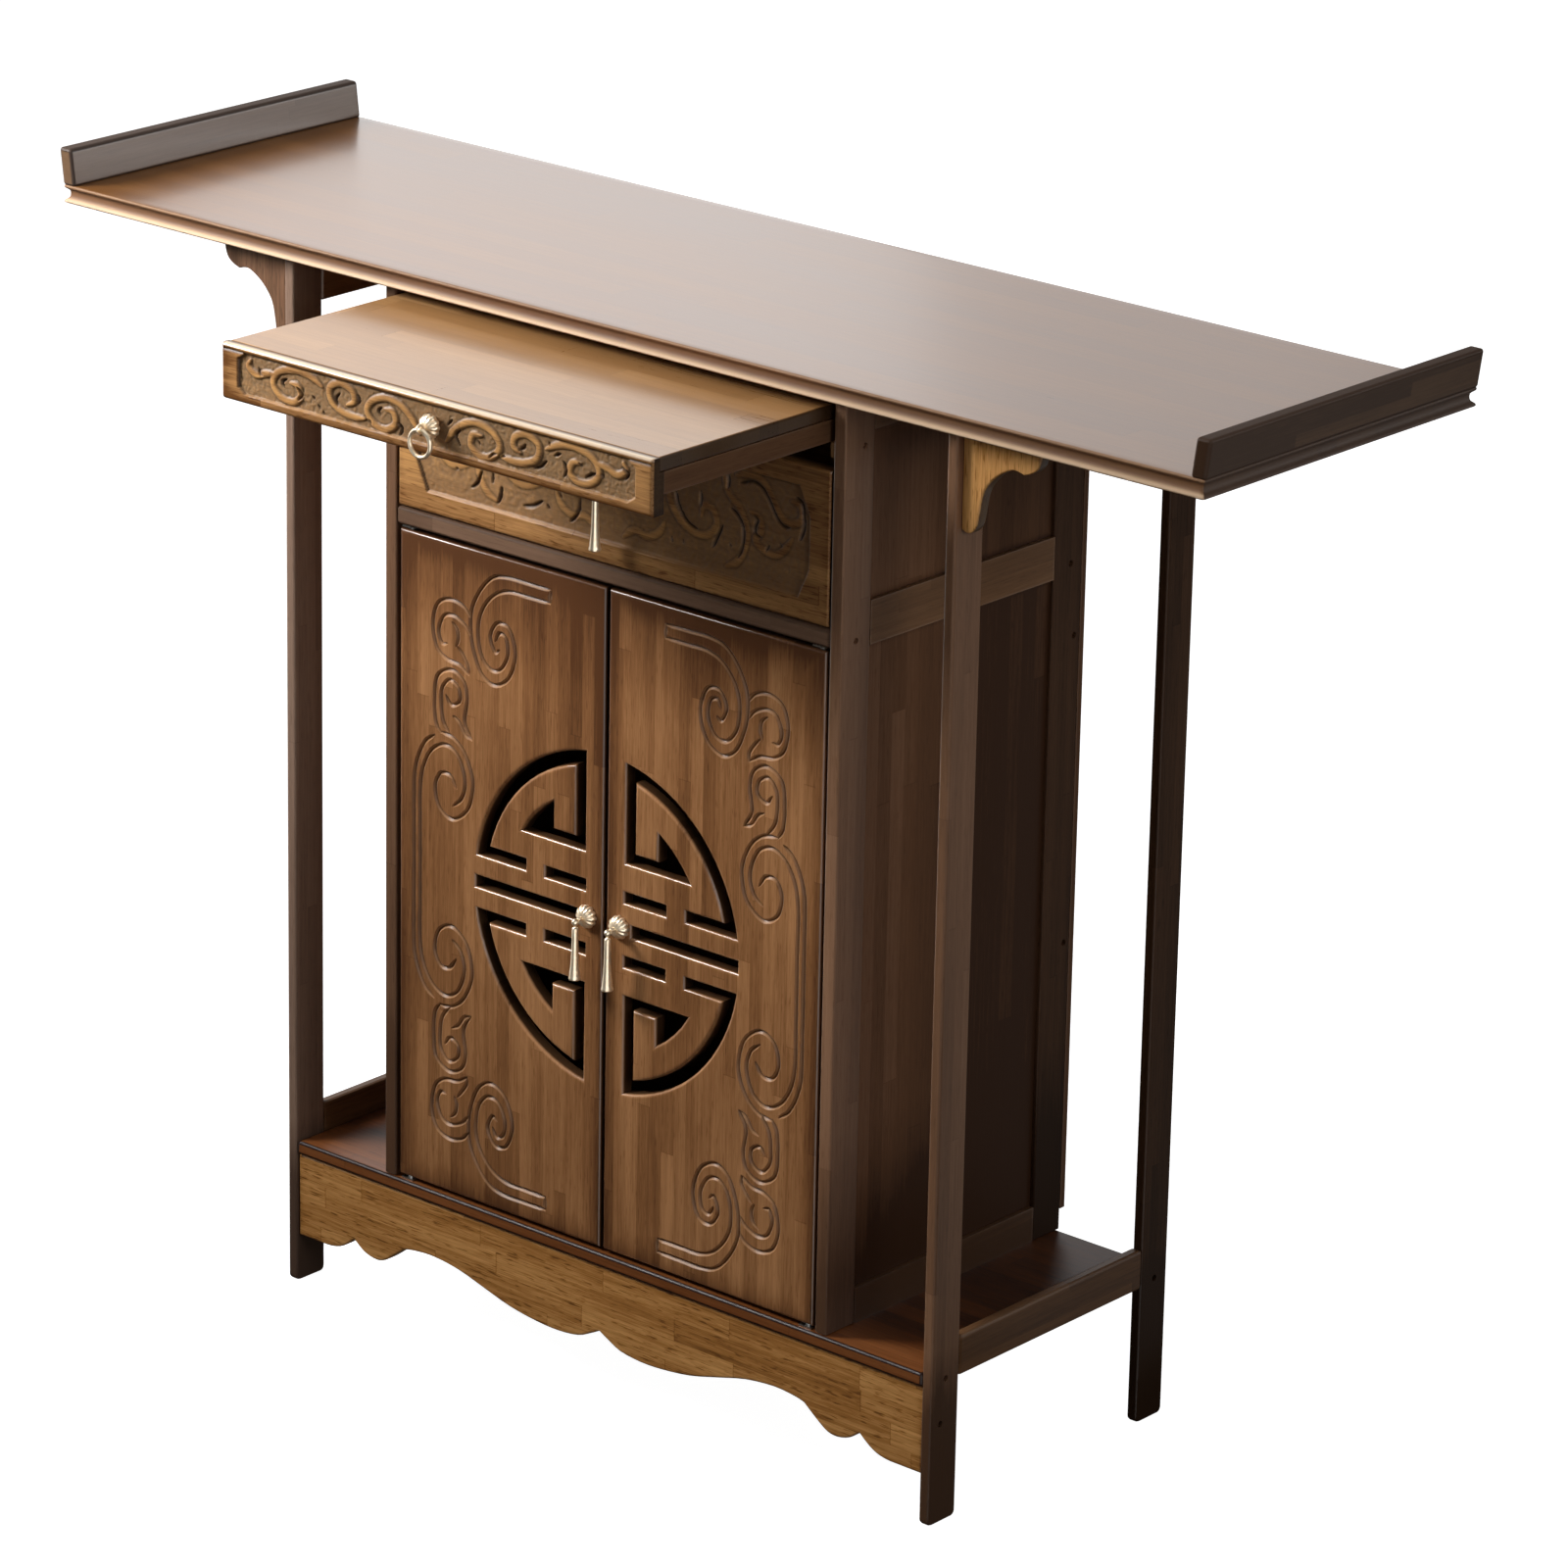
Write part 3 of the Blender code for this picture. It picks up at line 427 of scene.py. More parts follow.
# each upright's stain, its painted shade towards the floor, and how much paler or darker it is painted for
# the light it stands in: the back ones and the left posts darker, in deeper shade
UPRIGHTS = {
    "front_left_leg": (GREY_STAIN, FOOT_SHADE, 0.0), "front_right_leg": (FRONT_STAIN, FOOT_SHADE, 0.0),
    "back_left_leg": (SHADE_DARKENED_STAIN, FOOT_SHADE, -0.25), "back_right_leg": (SHADE_DARKENED_STAIN, FOOT_SHADE, -0.25),
    "front_left_post": (FRONT_STAIN, LOW_SHADE, -0.20), "front_right_post": (FRONT_STAIN, LOW_SHADE, 0.08),
    "back_left_post": (SHADE_DARKENED_STAIN, LOW_SHADE, -0.39), "back_right_post": (SHADE_DARKENED_STAIN, LOW_SHADE, -0.15)}
for name, (stain, shade, lift) in UPRIGHTS.items():
    dress_board(name, "Z", "Y", stain, shades=(shade,), lift=lift)


# ---- brackets ----
# A scrolled ear fills the corner between each front leg and the top. It is sawn from golden board and
# its edges are rounded over by hand.

ROUND_STEPS = np.array([0.0, 0.08, 0.30, 0.62, 1.0, 1.35])     # shares of a rounding
CUT_STEPS = (1.25, 1.0, 0.62, 0.30)                             # shares of a cut's half width
MITRE_LIMIT = 0.35      # keeps a sharp corner from running far into the wood
NEAR_AT_ONCE = 4000     # points measured together
GOUGE_SHADE = 0.7       # how much painted shade darkens a gouge cut, beside the sawn edges
LIP_WEAR_AND_HIGHLIGHT = 0.7          # how pale the two sides of a gouge cut are painted: partly rubbed wear, partly a painted highlight
SAWN_SHARE = 0.15       # how much of the rounding still shows the painted shade of the sawn edge
EAR_ROUNDING = 0.0015


def face_outline(node, level):
    """Corners of a node's flat face at y = level, and for each the number of the next one round its edge.

    The edge is made of the triangle sides that only one triangle of the face has, so that it runs round
    the board's outer edge and round each opening with the wood on its left.
    """
    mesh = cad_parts[node].data
    mesh.calc_loop_triangles()
    corners = np.empty(3 * len(mesh.loop_triangles), np.int32)
    mesh.loop_triangles.foreach_get("vertices", corners)
    places = np.empty(3 * len(mesh.vertices), np.float32)
    mesh.vertices.foreach_get("co", places)
    triangles = places.reshape(-1, 3)[corners].reshape(-1, 3, 3)
    flat = triangles[np.abs(triangles[:, :, 1] - level).max(axis=1) < 1e-5][:, :, [0, 2]]
    points, number = np.unique(flat.reshape(-1, 2).round(6), axis=0, return_inverse=True)
    number = number.reshape(-1, 3)
    sides = np.vstack([number[:, [0, 1]], number[:, [1, 2]], number[:, [2, 0]]])
    ways = sides[:, 0] * len(points) + sides[:, 1]
    returns = sides[:, 1] * len(points) + sides[:, 0]
    border = sides[~np.isin(ways, returns)]
    kept = np.unique(border)
    border = np.searchsorted(kept, border)
    following = np.empty(len(kept), int)
    following[border[:, 0]] = border[:, 1]
    return points[kept].astype(float), following


def stepped_in(points, following, distance):
    """Move an outline into the wood: each corner goes along the mean of its two sides' normals."""
    side = points[following] - points
    side /= np.linalg.norm(side, axis=1)[:, None]
    leaving = np.column_stack([-side[:, 1], side[:, 0]])
    arriving = np.empty_like(leaving)
    arriving[following] = leaving
    spread = 1.0 + (leaving * arriving).sum(axis=1)
    return points + distance * (leaving + arriving) / np.maximum(spread, MITRE_LIMIT)[:, None]


def inside_outline(points, outline, following):
    """Whether each point has an odd number of outline sides to its right."""
    x, z = points[:, 0, None], points[:, 1, None]
    here, there = outline, outline[following]
    crosses = (here[:, 1] > z) != (there[:, 1] > z)
    rise = np.where(there[:, 1] == here[:, 1], 1.0, there[:, 1] - here[:, 1])
    at = here[:, 0] + (z - here[:, 1]) / rise * (there[:, 0] - here[:, 0])
    return (crosses & (x < at)).sum(axis=1) % 2 == 1


def round_the_line(line, width):
    """The closed outline at a half width from a line, with a half circle at each end."""
    along = np.gradient(line, axis=0)
    along /= np.linalg.norm(along, axis=1)[:, None]
    across = np.column_stack([-along[:, 1], along[:, 0]])
    turn = np.linspace(0.0, math.pi, 6)[1:-1, None]
    far_end = line[-1] + width[-1] * (np.cos(turn) * across[-1] + np.sin(turn) * along[-1])
    near_end = line[0] - width[0] * (np.cos(turn) * across[0] + np.sin(turn) * along[0])
    return np.vstack([line + across * width[:, None], far_end,
                      (line - across * width[:, None])[::-1], near_end])


def share_of_cut(points, line, width):
    """How near each point is to a line, from one on the line to nothing at its half width."""
    start, step = line[:-1], np.diff(line, axis=0)
    length = (step ** 2).sum(axis=1)
    share = np.zeros(len(points))
    low, high = line.min(axis=0) - width.max(), line.max(axis=0) + width.max()
    near = np.flatnonzero(((points > low) & (points < high)).all(axis=1))
    for part in np.array_split(near, len(near) // NEAR_AT_ONCE + 1):
        gap = points[part, None] - start
        along = np.clip((gap * step).sum(axis=2) / length, 0.0, 1.0)
        distance = np.linalg.norm(gap - along[:, :, None] * step, axis=2)
        reach = width[:-1] + along * np.diff(width)
        share[part] = np.clip(1.0 - distance / reach, 0.0, 1.0).max(axis=1)
    return share


def skin(outline, following, rounding, cuts, depth):
    """Triangles over one face of a board, and how far each corner lies below the face.

    Lines of corners follow the rounded edge at a few distances from the outline, where the depth is that
    of a quarter circle, and each cut at a few shares of its half width, where it is a shallow V.
    """
    count = len(outline)
    rings = [stepped_in(outline, following, share * rounding) for share in ROUND_STEPS]
    points, sides = np.vstack(rings), np.vstack([np.column_stack([np.arange(count), following])
                                                + count * ring for ring in range(len(rings))])
    inset = np.repeat(np.minimum(ROUND_STEPS, 1.0), count)
    for line, width in cuts:
        loops = [round_the_line(line, width * share) for share in CUT_STEPS] + [line]
        for loop in loops:
            numbers = len(points) + np.arange(len(loop))
            closing = np.roll(numbers, -1) if loop is not line else numbers[1:]
            sides = np.vstack([sides, np.column_stack([numbers[:len(closing)], closing])])
            points = np.vstack([points, loop])
    made = delaunay_2d_cdt([Vector(point) for point in points], sides.tolist(), [], 0, 1e-7, True)
    corners = np.array([tuple(corner) for corner in made[0]])
    triangles = np.array(made[2])
    middle = corners[triangles].mean(axis=1)
    triangles = triangles[inside_outline(middle, outline, following)]
    source = np.array([origin[0] if origin else len(points) for origin in made[3]])
    place_of = np.empty(len(points), int)
    for number, origin in enumerate(made[3]):
        place_of[origin] = number
    on_ring = source < len(inset)
    share = np.ones(len(corners))
    share[on_ring] = inset[source[on_ring]]
    below = rounding * (1.0 - np.sqrt(1.0 - (1.0 - share) ** 2))
    carved = np.zeros(len(corners))
    for line, width in cuts:
        carved = np.maximum(carved, share_of_cut(corners, line, width) * width.mean() / width.max())
    below = below + depth * carved * (1.3 - 0.3 * carved)
    # painted shade on the sawn edges and in the gouge cuts, and a pale lip on each side of a cut, partly wear
    # and partly a painted highlight
    sawn = np.clip(1.0 - share / SAWN_SHARE, 0.0, 1.0)
    lip = np.where(carved > 0.02, np.minimum(1.3 * (1.0 - carved), 1.0), 0.0)
    marks = {"rim": np.minimum(2.0 - 2.0 * share, 1.0), "worn_and_highlit": lip * LIP_WEAR_AND_HIGHLIGHT,
             "cut": np.maximum(carved ** 2 * GOUGE_SHADE, sawn)}
    return corners, triangles, below, marks, place_of[:count]


def put(name, points, faces, body, finish, replaced, attributes=None, sharp=40):
    """Make a piece of the given points and faces, and fix it to its body in place of its frame nodes."""
    mesh = bpy.data.meshes.new(name)
    mesh.from_pydata(points.tolist(), [], faces)
    mesh.materials.append(finish)
    for attribute, values in (attributes or {}).items():
        mesh.attributes.new(attribute, "FLOAT", "POINT").data.foreach_set("value", values.astype(np.float32))
    mesh.shade_smooth()
    mesh.set_sharp_from_angle(angle=math.radians(sharp))
    piece = bpy.data.objects.new(name, mesh)
    bpy.context.scene.collection.objects.link(piece)
    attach(piece, body)
    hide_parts(*replaced)
    return piece


def sawn_board(node, body, finish, rounding, cuts=(), depth=0.0):
    """A board with its frame node's outline, rounded edges, and cuts in its front face."""
    low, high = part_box(node)
    outline, following = face_outline(node, low.y)
    front, front_faces, below, marks, front_edge = skin(outline, following, rounding, cuts, depth)
    back, back_faces, above, plain, back_edge = skin(outline, following, rounding / 2, (), 0.0)
    points = np.vstack([np.column_stack([front[:, 0], low.y + below, front[:, 1]]),
                        np.column_stack([back[:, 0], high.y - above, back[:, 1]])])
    back_edge = back_edge + len(front)
    walls = np.column_stack([front_edge, back_edge, back_edge[following], front_edge[following]])
    faces = front_faces.tolist() + (back_faces[:, ::-1] + len(front)).tolist() + walls.tolist()
    marks = {mark: np.concatenate([marks[mark], plain[mark]]) for mark in marks}
    return put(node + "_board", points, faces, body, finish, [node], marks)


GOLDEN_STAIN = stained((104, 64, 28), (168, 114, 58), (214, 160, 96), strip=0.016, block=0.20, strips=0.26,
                       grain=0.8, flecks=0.30, clouds=0.40, seam=0.25, margin_tone=-0.15, rim_tone=0.10,
                       roughness=0.42, cut=0.85)
# the left bracket is painted darker and the right one paler: painted shade and painted light, for where each
# stands
for side, stain in (("left", {**GOLDEN_STAIN, **FRONT_STAIN, "lift": -0.25}),
                    ("right", dict(GOLDEN_STAIN, grain=1.3, flecks=0.5, lift=0.38))):
    name = side + "_leg_bracket"
    finish = board_finish(name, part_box(name), "Z", "X", stain, rim=0, rim_tone=0.0, rim_coat=0.2)
    sawn_board(name, "cabinet", finish, EAR_ROUNDING)


# ---- rails and side panels ----
# Rails join each pair of legs and each pair of posts, and thin panels sit sunk between the rails and
# the posts. A low rail closes the back of the cabinet under its back panel.

SIDE_STAIN = stained((68, 44, 29), (113, 78, 53), (152, 112, 84), specular=0.08)
RAIL_STAIN = stained((82, 55, 34), (124, 88, 57), (158, 118, 82), specular=0.2)
# painted shade on the sunk panels: darker at their margins, towards the floor and towards the back, where the
# rails, the posts and the cabinet keep the light off
PANEL_STAIN = dict(SIDE_STAIN, strip=0.016, margin=0.006, margin_tone=-0.35, rim=0,
                   shades=(LOW_SHADE, ("Z", 0.260, 0.170, -0.35), ("Y", 0.0, 0.13, -0.55)))
# the base rail and the low side rails are painted darker, as shade near the floor
RAIL_SHADE_LIFTS = {"top_rail": 0.0, "base_rail": -0.2, "side_low_rail": -0.5, "side_mid_rail": 0.0,
              "side_high_rail": 0.0}

for side in SIDES:
    for part, lift in RAIL_SHADE_LIFTS.items():
        dress_board(f"{side}_{part}", "Y", "Z", RAIL_STAIN, lift=lift)
    # the panels are painted paler, the high one more so: painted sheen
    for part, lift in (("side_low_panel", 0.20), ("side_high_panel", 0.32)):
        dress_board(f"{side}_{part}", "Z", "Y", PANEL_STAIN, lift=lift)
dress_board("back_low_rail", "X", "Z", SIDE_STAIN)
dress_board("back_panel", "Z", "X", SIDE_STAIN, strip=0.020)


# ---- shelves ----
# The base shelf runs between the legs and carries the cabinet, and the divider shelf parts the drawer
# from the cupboard. Both are dark board with a well rounded nose.

ROUND_PARTS = 4         # steps in half of a rounded edge


def grid_quads(columns, rows):
    """Quads between neighbouring points of a grid that is numbered along its rows."""
    cell = (np.arange(columns - 1)[:, None] * rows + np.arange(rows - 1)).ravel()
    return np.column_stack([cell, cell + rows, cell + rows + 1, cell + 1])


def rounded_board(low, high, radius, lean=0.0):
    """A board with quarter round edges: the sides of a cube bent to a sphere and pulled apart.

    On each side of the cube two tangents run from -1 to 1. A point is the corner of the board's inner box
    on its own half of the side, plus the radius along (tangent, tangent, 1) made one long. A second pair
    of middle lines, half a radius further in, keeps the shading of the flat faces even. The board leans
    by moving each point along X in step with its height.
    """
    turn = np.tan(np.linspace(-math.pi / 4, 0.0, ROUND_PARTS + 1))
    tangent = np.concatenate([turn, [0.0, 0.0], -turn[::-1]])
    half = np.repeat([-1.0, 1.0], ROUND_PARTS + 2)
    inward = np.zeros(len(tangent))
    inward[[ROUND_PARTS + 1, ROUND_PARTS + 2]] = radius / 2, -radius / 2
    low, high = np.array(low), np.array(high)
    centre, reach = (low + high) / 2, (high - low) / 2 - radius
    count = len(tangent)
    quads = grid_quads(count, count)
    points, faces, rims = [], [], []
    for axis in range(3):
        for sign in (-1.0, 1.0):
            u, v = (axis + 1) % 3, (axis + 2) % 3
            way, corner, shift = np.zeros((3, count, count, 3))
            way[..., u], way[..., v], way[..., axis] = tangent[:, None], tangent, sign
            corner[..., u], corner[..., v], corner[..., axis] = half[:, None], half, sign
            shift[..., u], shift[..., v] = inward[:, None], inward
            rims.append(np.maximum(np.abs(tangent[:, None]), np.abs(tangent)).ravel())
            way /= np.linalg.norm(way, axis=-1, keepdims=True)
            faces.append((quads if sign > 0 else quads[:, ::-1]) + len(points) * count ** 2)
            points.append((centre + corner * reach + shift + way * radius).reshape(-1, 3))
    points, first, number = np.unique(np.vstack(points).round(7), axis=0, return_index=True,
                                      return_inverse=True)
    points[:, 0] += lean * (points[:, 2] - low[2]) / (high[2] - low[2])
    rim = np.minimum(2 * np.concatenate(rims)[first], 1)
    return points, number.reshape(-1)[np.vstack(faces)].tolist(), {"rim": rim}


SHELF_ROUNDING = 0.0030
# painted shade darkens the base shelf towards the back, where the cabinet keeps the light off it; its rounded
# nose is darker as well
WARM_STAIN = stained((36, 13, 6), (104, 58, 25), (150, 92, 50), specular=0.28, lift=0.22, rim_tone=-0.9,
                     shades=(("Y", -0.045, 0.010, -0.45),))
DULL_STAIN = stained((76, 56, 42), (108, 82, 64), (136, 106, 84), specular=0.1, roughness=0.6, rim_tone=-0.4)
for name, stain in (("base_shelf", WARM_STAIN), ("divider_shelf", DULL_STAIN)):
    points, faces, marks = rounded_board(*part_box(name), SHELF_ROUNDING)
    put(name + "_board", points, faces, "cabinet",
        board_finish(name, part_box(name), "X", "Y", stain, strip=0.02, rim=0, rim_coat=0.0), [name], marks)


# ---- apron ----
# The scalloped apron hangs under the front of the base shelf. It is sawn from short blocks of golden
# strip with plenty of dark flecks, and its edges are rounded over.

APRON_ROUNDING = 0.0018
finish = board_finish("base_apron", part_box("base_apron"), "X", "Z", GOLDEN_STAIN, rim=0, flecks=0.50,
                      grain=1.1, clouds=0.55, strip=0.019, block=0.16, lift=0.14)
sawn_board("base_apron", "cabinet", finish, APRON_ROUNDING)


# ---- top and its end boards ----
# The top is one long board with a lip, a cove and a bead run along all four edges. At each end a board
# stands on it and leans outwards.

TOP_STAIN = stained((84, 50, 22), (117, 76, 38), (148, 103, 58), strip=0.024, block=0.60, strips=0.16,
                    grain=0.35, flecks=0.05, clouds=0.35, seam=0.10, rim=0, rim_tone=0.0, rim_coat=-1.2,
                    rim_dull=0.35, roughness=0.30, specular=0.5, coat=0.38, cut=0.85, bump=0.12)
# the moulding, from the top face down: inset in mm, depth in mm, how pale (partly wear, partly a painted
# highlight on the lip and the bead), and how dark (painted shade at the lip's foot, in the cove and under the
# bead)
TOP_MOULDING = np.array((
    # the flat face and the rounded lip
    (9.0, 0.0, 0.0, 0.0), (1.5, 0.0, 0.0, 0.0), (0.9, 0.1, 0.1, 0.0), (0.4, 0.4, 0.2, 0.0),
    (0.1, 0.9, 0.2, 0.0), (0.0, 1.6, 0.1, 0.1), (0.2, 2.4, 0.0, 0.2),
    # the cove
    (1.2, 3.2, 0.0, 0.3), (2.6, 4.2, 0.0, 0.3), (3.4, 5.2, 0.0, 0.3), (3.7, 6.6, 0.0, 0.2),
    (3.7, 8.4, 0.0, 0.2), (3.5, 9.8, 0.0, 0.2), (3.0, 11.0, 0.2, 0.1),
    # the bead and the underside
    (2.2, 11.8, 0.6, 0.0), (1.3, 12.5, 1.0, 0.0), (0.5, 13.2, 1.0, 0.0), (0.1, 13.9, 1.0, 0.0),
    (0.0, 14.5, 0.8, 0.0), (0.4, 15.1, 0.3, 0.2), (1.4, 15.7, 0.0, 0.4), (2.8, 15.9, 0.0, 0.4),
    (4.5, 16.0, 0.0, 0.3), (12.0, 16.0, 0.0, 0.0)))
TOP_CORNER = 0.0025
END_SHADE = 0.9         # painted shade: how dark the moulding is painted on the other three edges


def ring_quads(rings, count):
    """Quads between each ring of points and the next one, with every ring closed on itself."""
    ring, place = np.divmod(np.arange((rings - 1) * count), count)
    after = (place + 1) % count
    return np.column_stack([ring * count + after, ring * count + place, (ring + 1) * count + place,
                            (ring + 1) * count + after])


def moulded_board(low, high, moulding, corner, steps=4):
    """A profile of inset and depth carried round a rectangle with small round corners, and closed flat.

    The last result tells which points face the front.
    """
    turn = np.linspace(0.0, math.pi / 2, steps + 1)
    angle = (turn + np.arange(4)[:, None] * math.pi / 2).ravel()
    sides = np.repeat([(1, 1), (-1, 1), (-1, -1), (1, -1)], steps + 1, axis=0)
    rows = []
    for inset, depth in moulding[:, :2] * MM:
        reach = (np.array(high[:2]) - low[:2]) / 2 - inset - corner
        flat = (np.array(high[:2]) + low[:2]) / 2 + sides * reach
        flat = flat + corner * np.column_stack([np.cos(angle), np.sin(angle)])
        rows.append(np.column_stack([flat, np.full(len(angle), high.z - depth)]))
    count, total = len(angle), len(rows) * len(angle)
    faces = ring_quads(len(rows), count).tolist()
    faces += [list(range(count)), list(range(total - 1, total - count - 1, -1))]
    return np.vstack(rows), faces, np.tile(np.sin(angle) < -0.5, len(rows))


low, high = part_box("table_top")
points, faces, facing = moulded_board(low, high, TOP_MOULDING, TOP_CORNER)
# the front moulding's pale lip and bead are partly wear and partly a painted highlight; its cove, and the
# moulding on the other three edges, take painted shade
sunk, rubbed, shaded = np.repeat(TOP_MOULDING[:, 1:], len(points) // len(TOP_MOULDING), axis=0).T
ends = ~facing & (sunk > 0)
marks = {"rim": (sunk > 0).astype(float), "worn_and_highlit": np.where(ends, 0.0, rubbed),
         "cut": np.where(ends, END_SHADE, shaded)}
finish = board_finish("table_top", (low, high), "X", "Y", TOP_STAIN, rubbed=linear(196, 165, 132))
put("table_top_board", points, faces, "cabinet", finish, ["table_top"], marks, sharp=50)

FLANGE_THICKNESS, FLANGE_ROUNDING = 0.0137, 0.0028
CREST, CREST_FADE = 0.0010, 0.0035      # how far below its top a flange is painted dark as shade, and where that begins
# painted shade: the flanges' rounded edges and tops are darker, and the right flange darker still for the
# shade it stands in
FLANGE_STAIN = {**TOP_STAIN, **stained((62, 43, 30), (106, 80, 58), (132, 104, 80), strip=0.011,
                                       rim_tone=-0.6)}
FLANGE_GLOSS_AND_SHADE = {"left": dict(coat=0.3, specular=0.5), "right": dict(coat=0.08, specular=0.2, lift=-0.36)}
for side, sign in SIDES.items():
    name = side + "_end_flange"
    low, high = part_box(name)
    lean = (high.x - low.x) - FLANGE_THICKNESS
    upright = (low, high - Vector((lean, 0, 0))) if sign > 0 else (low + Vector((lean, 0, 0)), high)
    points, faces, marks = rounded_board(*upright, FLANGE_ROUNDING, sign * lean)
    marks["rim"][points[:, 2] > high.z - CREST] = 1.0
    finish = board_finish(name, (low, high), "Y", "Z", FLANGE_STAIN, **FLANGE_GLOSS_AND_SHADE[side],
                          shades=(("Z", high.z - CREST_FADE, high.z - CREST, -1.0),))
    put(name + "_board", points, faces, "cabinet", finish, [name], marks)


# ---- doors ----
# Two leaves of brown strip board, pierced by the round fret and carved with a running cloud scroll,
# its lines cut with a small round gouge. They turn on steel pivots.

# Each line is the middle of one gouge cut on the upper half of the right door; the lower half and the
# left door mirror it. The last two run down the whole side of the door.
SCROLL_LINES = (
    # the top band and its curl
    ((62, 684.5), (86, 684.7), (108, 684.7), (124, 681), (137, 669), (147, 651), (149, 634), (146, 616),
     (137, 597), (123, 590), (107, 599), (99.5, 621), (106, 641), (119, 643.5), (127, 631), (122, 618.5),
     (117, 621.5)),
    ((62, 673.5), (86, 673.3), (106, 673), (122, 667), (135, 653), (140.5, 636), (138, 615), (128, 603),
     (116, 604.5), (108, 618), (109.5, 632), (117, 635.5), (121.5, 628)),
    ((62, 685), (62, 679), (62, 673)),
    # the hooked curl beside it
    ((149, 641), (157, 649), (171, 652), (185, 646), (191, 629), (187, 609), (176, 600.5), (162, 598.5),
     (151, 592)),
    ((151, 592), (151.5, 599), (156, 606), (162, 613)),
    ((150, 627), (156, 634), (168, 639), (179, 636), (184.5, 623), (181, 613), (175, 613.5)),
    ((169.5, 633), (164, 628), (162.5, 620), (165, 613)),
    # the small curl below
    ((182, 535), (187.5, 544), (189, 562), (186, 583), (171, 592), (157, 586), (152.5, 572), (155, 551),
     (147, 537)),
    ((147, 537), (155, 540.5), (161, 549), (168, 553)),
    ((171, 535.5), (179, 546), (181.5, 560), (180.5, 574), (172, 583), (162, 578), (161, 567), (170, 562),
     (176, 569)),
    # the large curl at the side
    ((182, 536), (168, 534), (156, 525), (147.5, 509), (146, 494), (152, 475), (168, 463.5), (183, 470),
     (188, 487), (182, 500), (171, 500.5), (164, 491)),
    ((189, 531.5), (199, 524), (206.5, 511), (211, 496), (212, 480), (212, 450), (212, 416.5)),
    ((168, 475), (158, 484), (154.5, 500), (162, 519), (176, 526), (191, 519), (201, 503), (205, 482),
     (205, 450), (205, 416.5)),
)
FRET_HEIGHT = 0.4165
CUT_WIDTH = 0.0022      # half width of a gouge cut
CUT_DEPTH = 0.0021
CUT_TAPER = 0.006
LINE_STEP = 0.0012
DOOR_ROUNDING = 0.0030
# the doors are painted darker towards their top, as the tray's shadow; their gouge lips take the colour of
# wear and painted highlight
BROWN_STAIN = stained((90, 56, 32), (136, 92, 56), (178, 128, 84), strip=0.013, block=0.30, strips=0.30,
                      grain=0.75, flecks=0.18, clouds=0.75, seam=0.18, rim=0, margin=0.030,
                      margin_tone=-0.45, rim_tone=0.2, rim_coat=0.45, rubbed=linear(190, 148, 108),
                      roughness=0.36, cut=0.85, shades=(("Z", 0.600, 0.700, -0.42),))


def distances(line):
    """How far along a line each of its points lies."""
    return np.concatenate([[0.0], np.cumsum(np.linalg.norm(np.diff(line, axis=0), axis=1))])


def smooth_line(points):
    """A Catmull-Rom curve through the points, walked along in even steps, in metres."""
    knots = np.array(points, float) * MM
    knots = np.vstack([2 * knots[0] - knots[1], knots, 2 * knots[-1] - knots[-2]])
    before, here, there, after = knots[:-3], knots[1:-2], knots[2:-1], knots[3:]
    t = np.linspace(0.0, 1.0, 24, endpoint=False)[:, None, None]
    curve = 0.5 * (2 * here + (there - before) * t + (2 * before - 5 * here + 4 * there - after) * t ** 2
                   + (3 * here - before - 3 * there + after) * t ** 3)
    curve = np.vstack([curve.transpose(1, 0, 2).reshape(-1, 2), knots[-2]])
    reach = distances(curve)
    walk = np.linspace(0.0, reach[-1], max(2, round(reach[-1] / LINE_STEP)) + 1)
    return np.column_stack([np.interp(walk, reach, curve[:, k]) for k in (0, 1)])


def tapered(line, width, taper):
    """Half width along a line: full in its middle, and falling to two fifths over the taper at its ends."""
    reach = distances(line)
    near = np.minimum(reach, reach[-1] - reach) / taper
    return width * (0.4 + 0.6 * np.clip(near, 0.0, 1.0) ** 0.7)


def door_cuts(sign):
    """The scroll on one door: every line and its mirror image; lines that reach the middle go through."""
    cuts = []
    for points in SCROLL_LINES:
        line = smooth_line(points)
        image = line * (1, -1) + (0, 2 * FRET_HEIGHT)
        if abs(line[-1, 1] - FRET_HEIGHT) < 1e-6:
            line, image = np.vstack([line, image[-2::-1]]), None
        for drawn in (line, image):
            if drawn is not None:
                cuts.append((drawn * (sign, 1), tapered(drawn, CUT_WIDTH, CUT_TAPER)))
    return cuts


for side, sign in SIDES.items():
    name = side + "_door"
    # the right door is painted paler, for the light that falls on it
    finish = board_finish(name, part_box(name), "Z", "X", BROWN_STAIN, lift=0.06 * (sign + 1))
    sawn_board(name, name, finish, DOOR_ROUNDING, door_cuts(sign), CUT_DEPTH)


# ---- drawer ----
# The drawer front has a sunk panel with cut corners, its scrolls marked by short deep gouge strokes.
# Behind it is a plain box of paler unstained board.

RECESS, PANEL_WALL = 0.0025, 0.0014
STIPPLE = 0.00045
BAND_TAPER, STROKE_TAPER = 0.010, 0.004
OUTLINE, FOOT_REACH = 0.6, 1.5      # how dark the painted shade at the foot of a raised band is, and its width beside the band's
# how dark the painted shade is on the panel's left and upper walls, and how pale the upper edge is painted,
# partly as wear and partly as a highlight
PANEL_WALL_SHADE, EDGE_WEAR_AND_HIGHLIGHT = 0.85, 0.8
GROOVE_WIDTH, GROOVE_DEPTH = 0.0017, 0.0010
SEAM = 0.0001


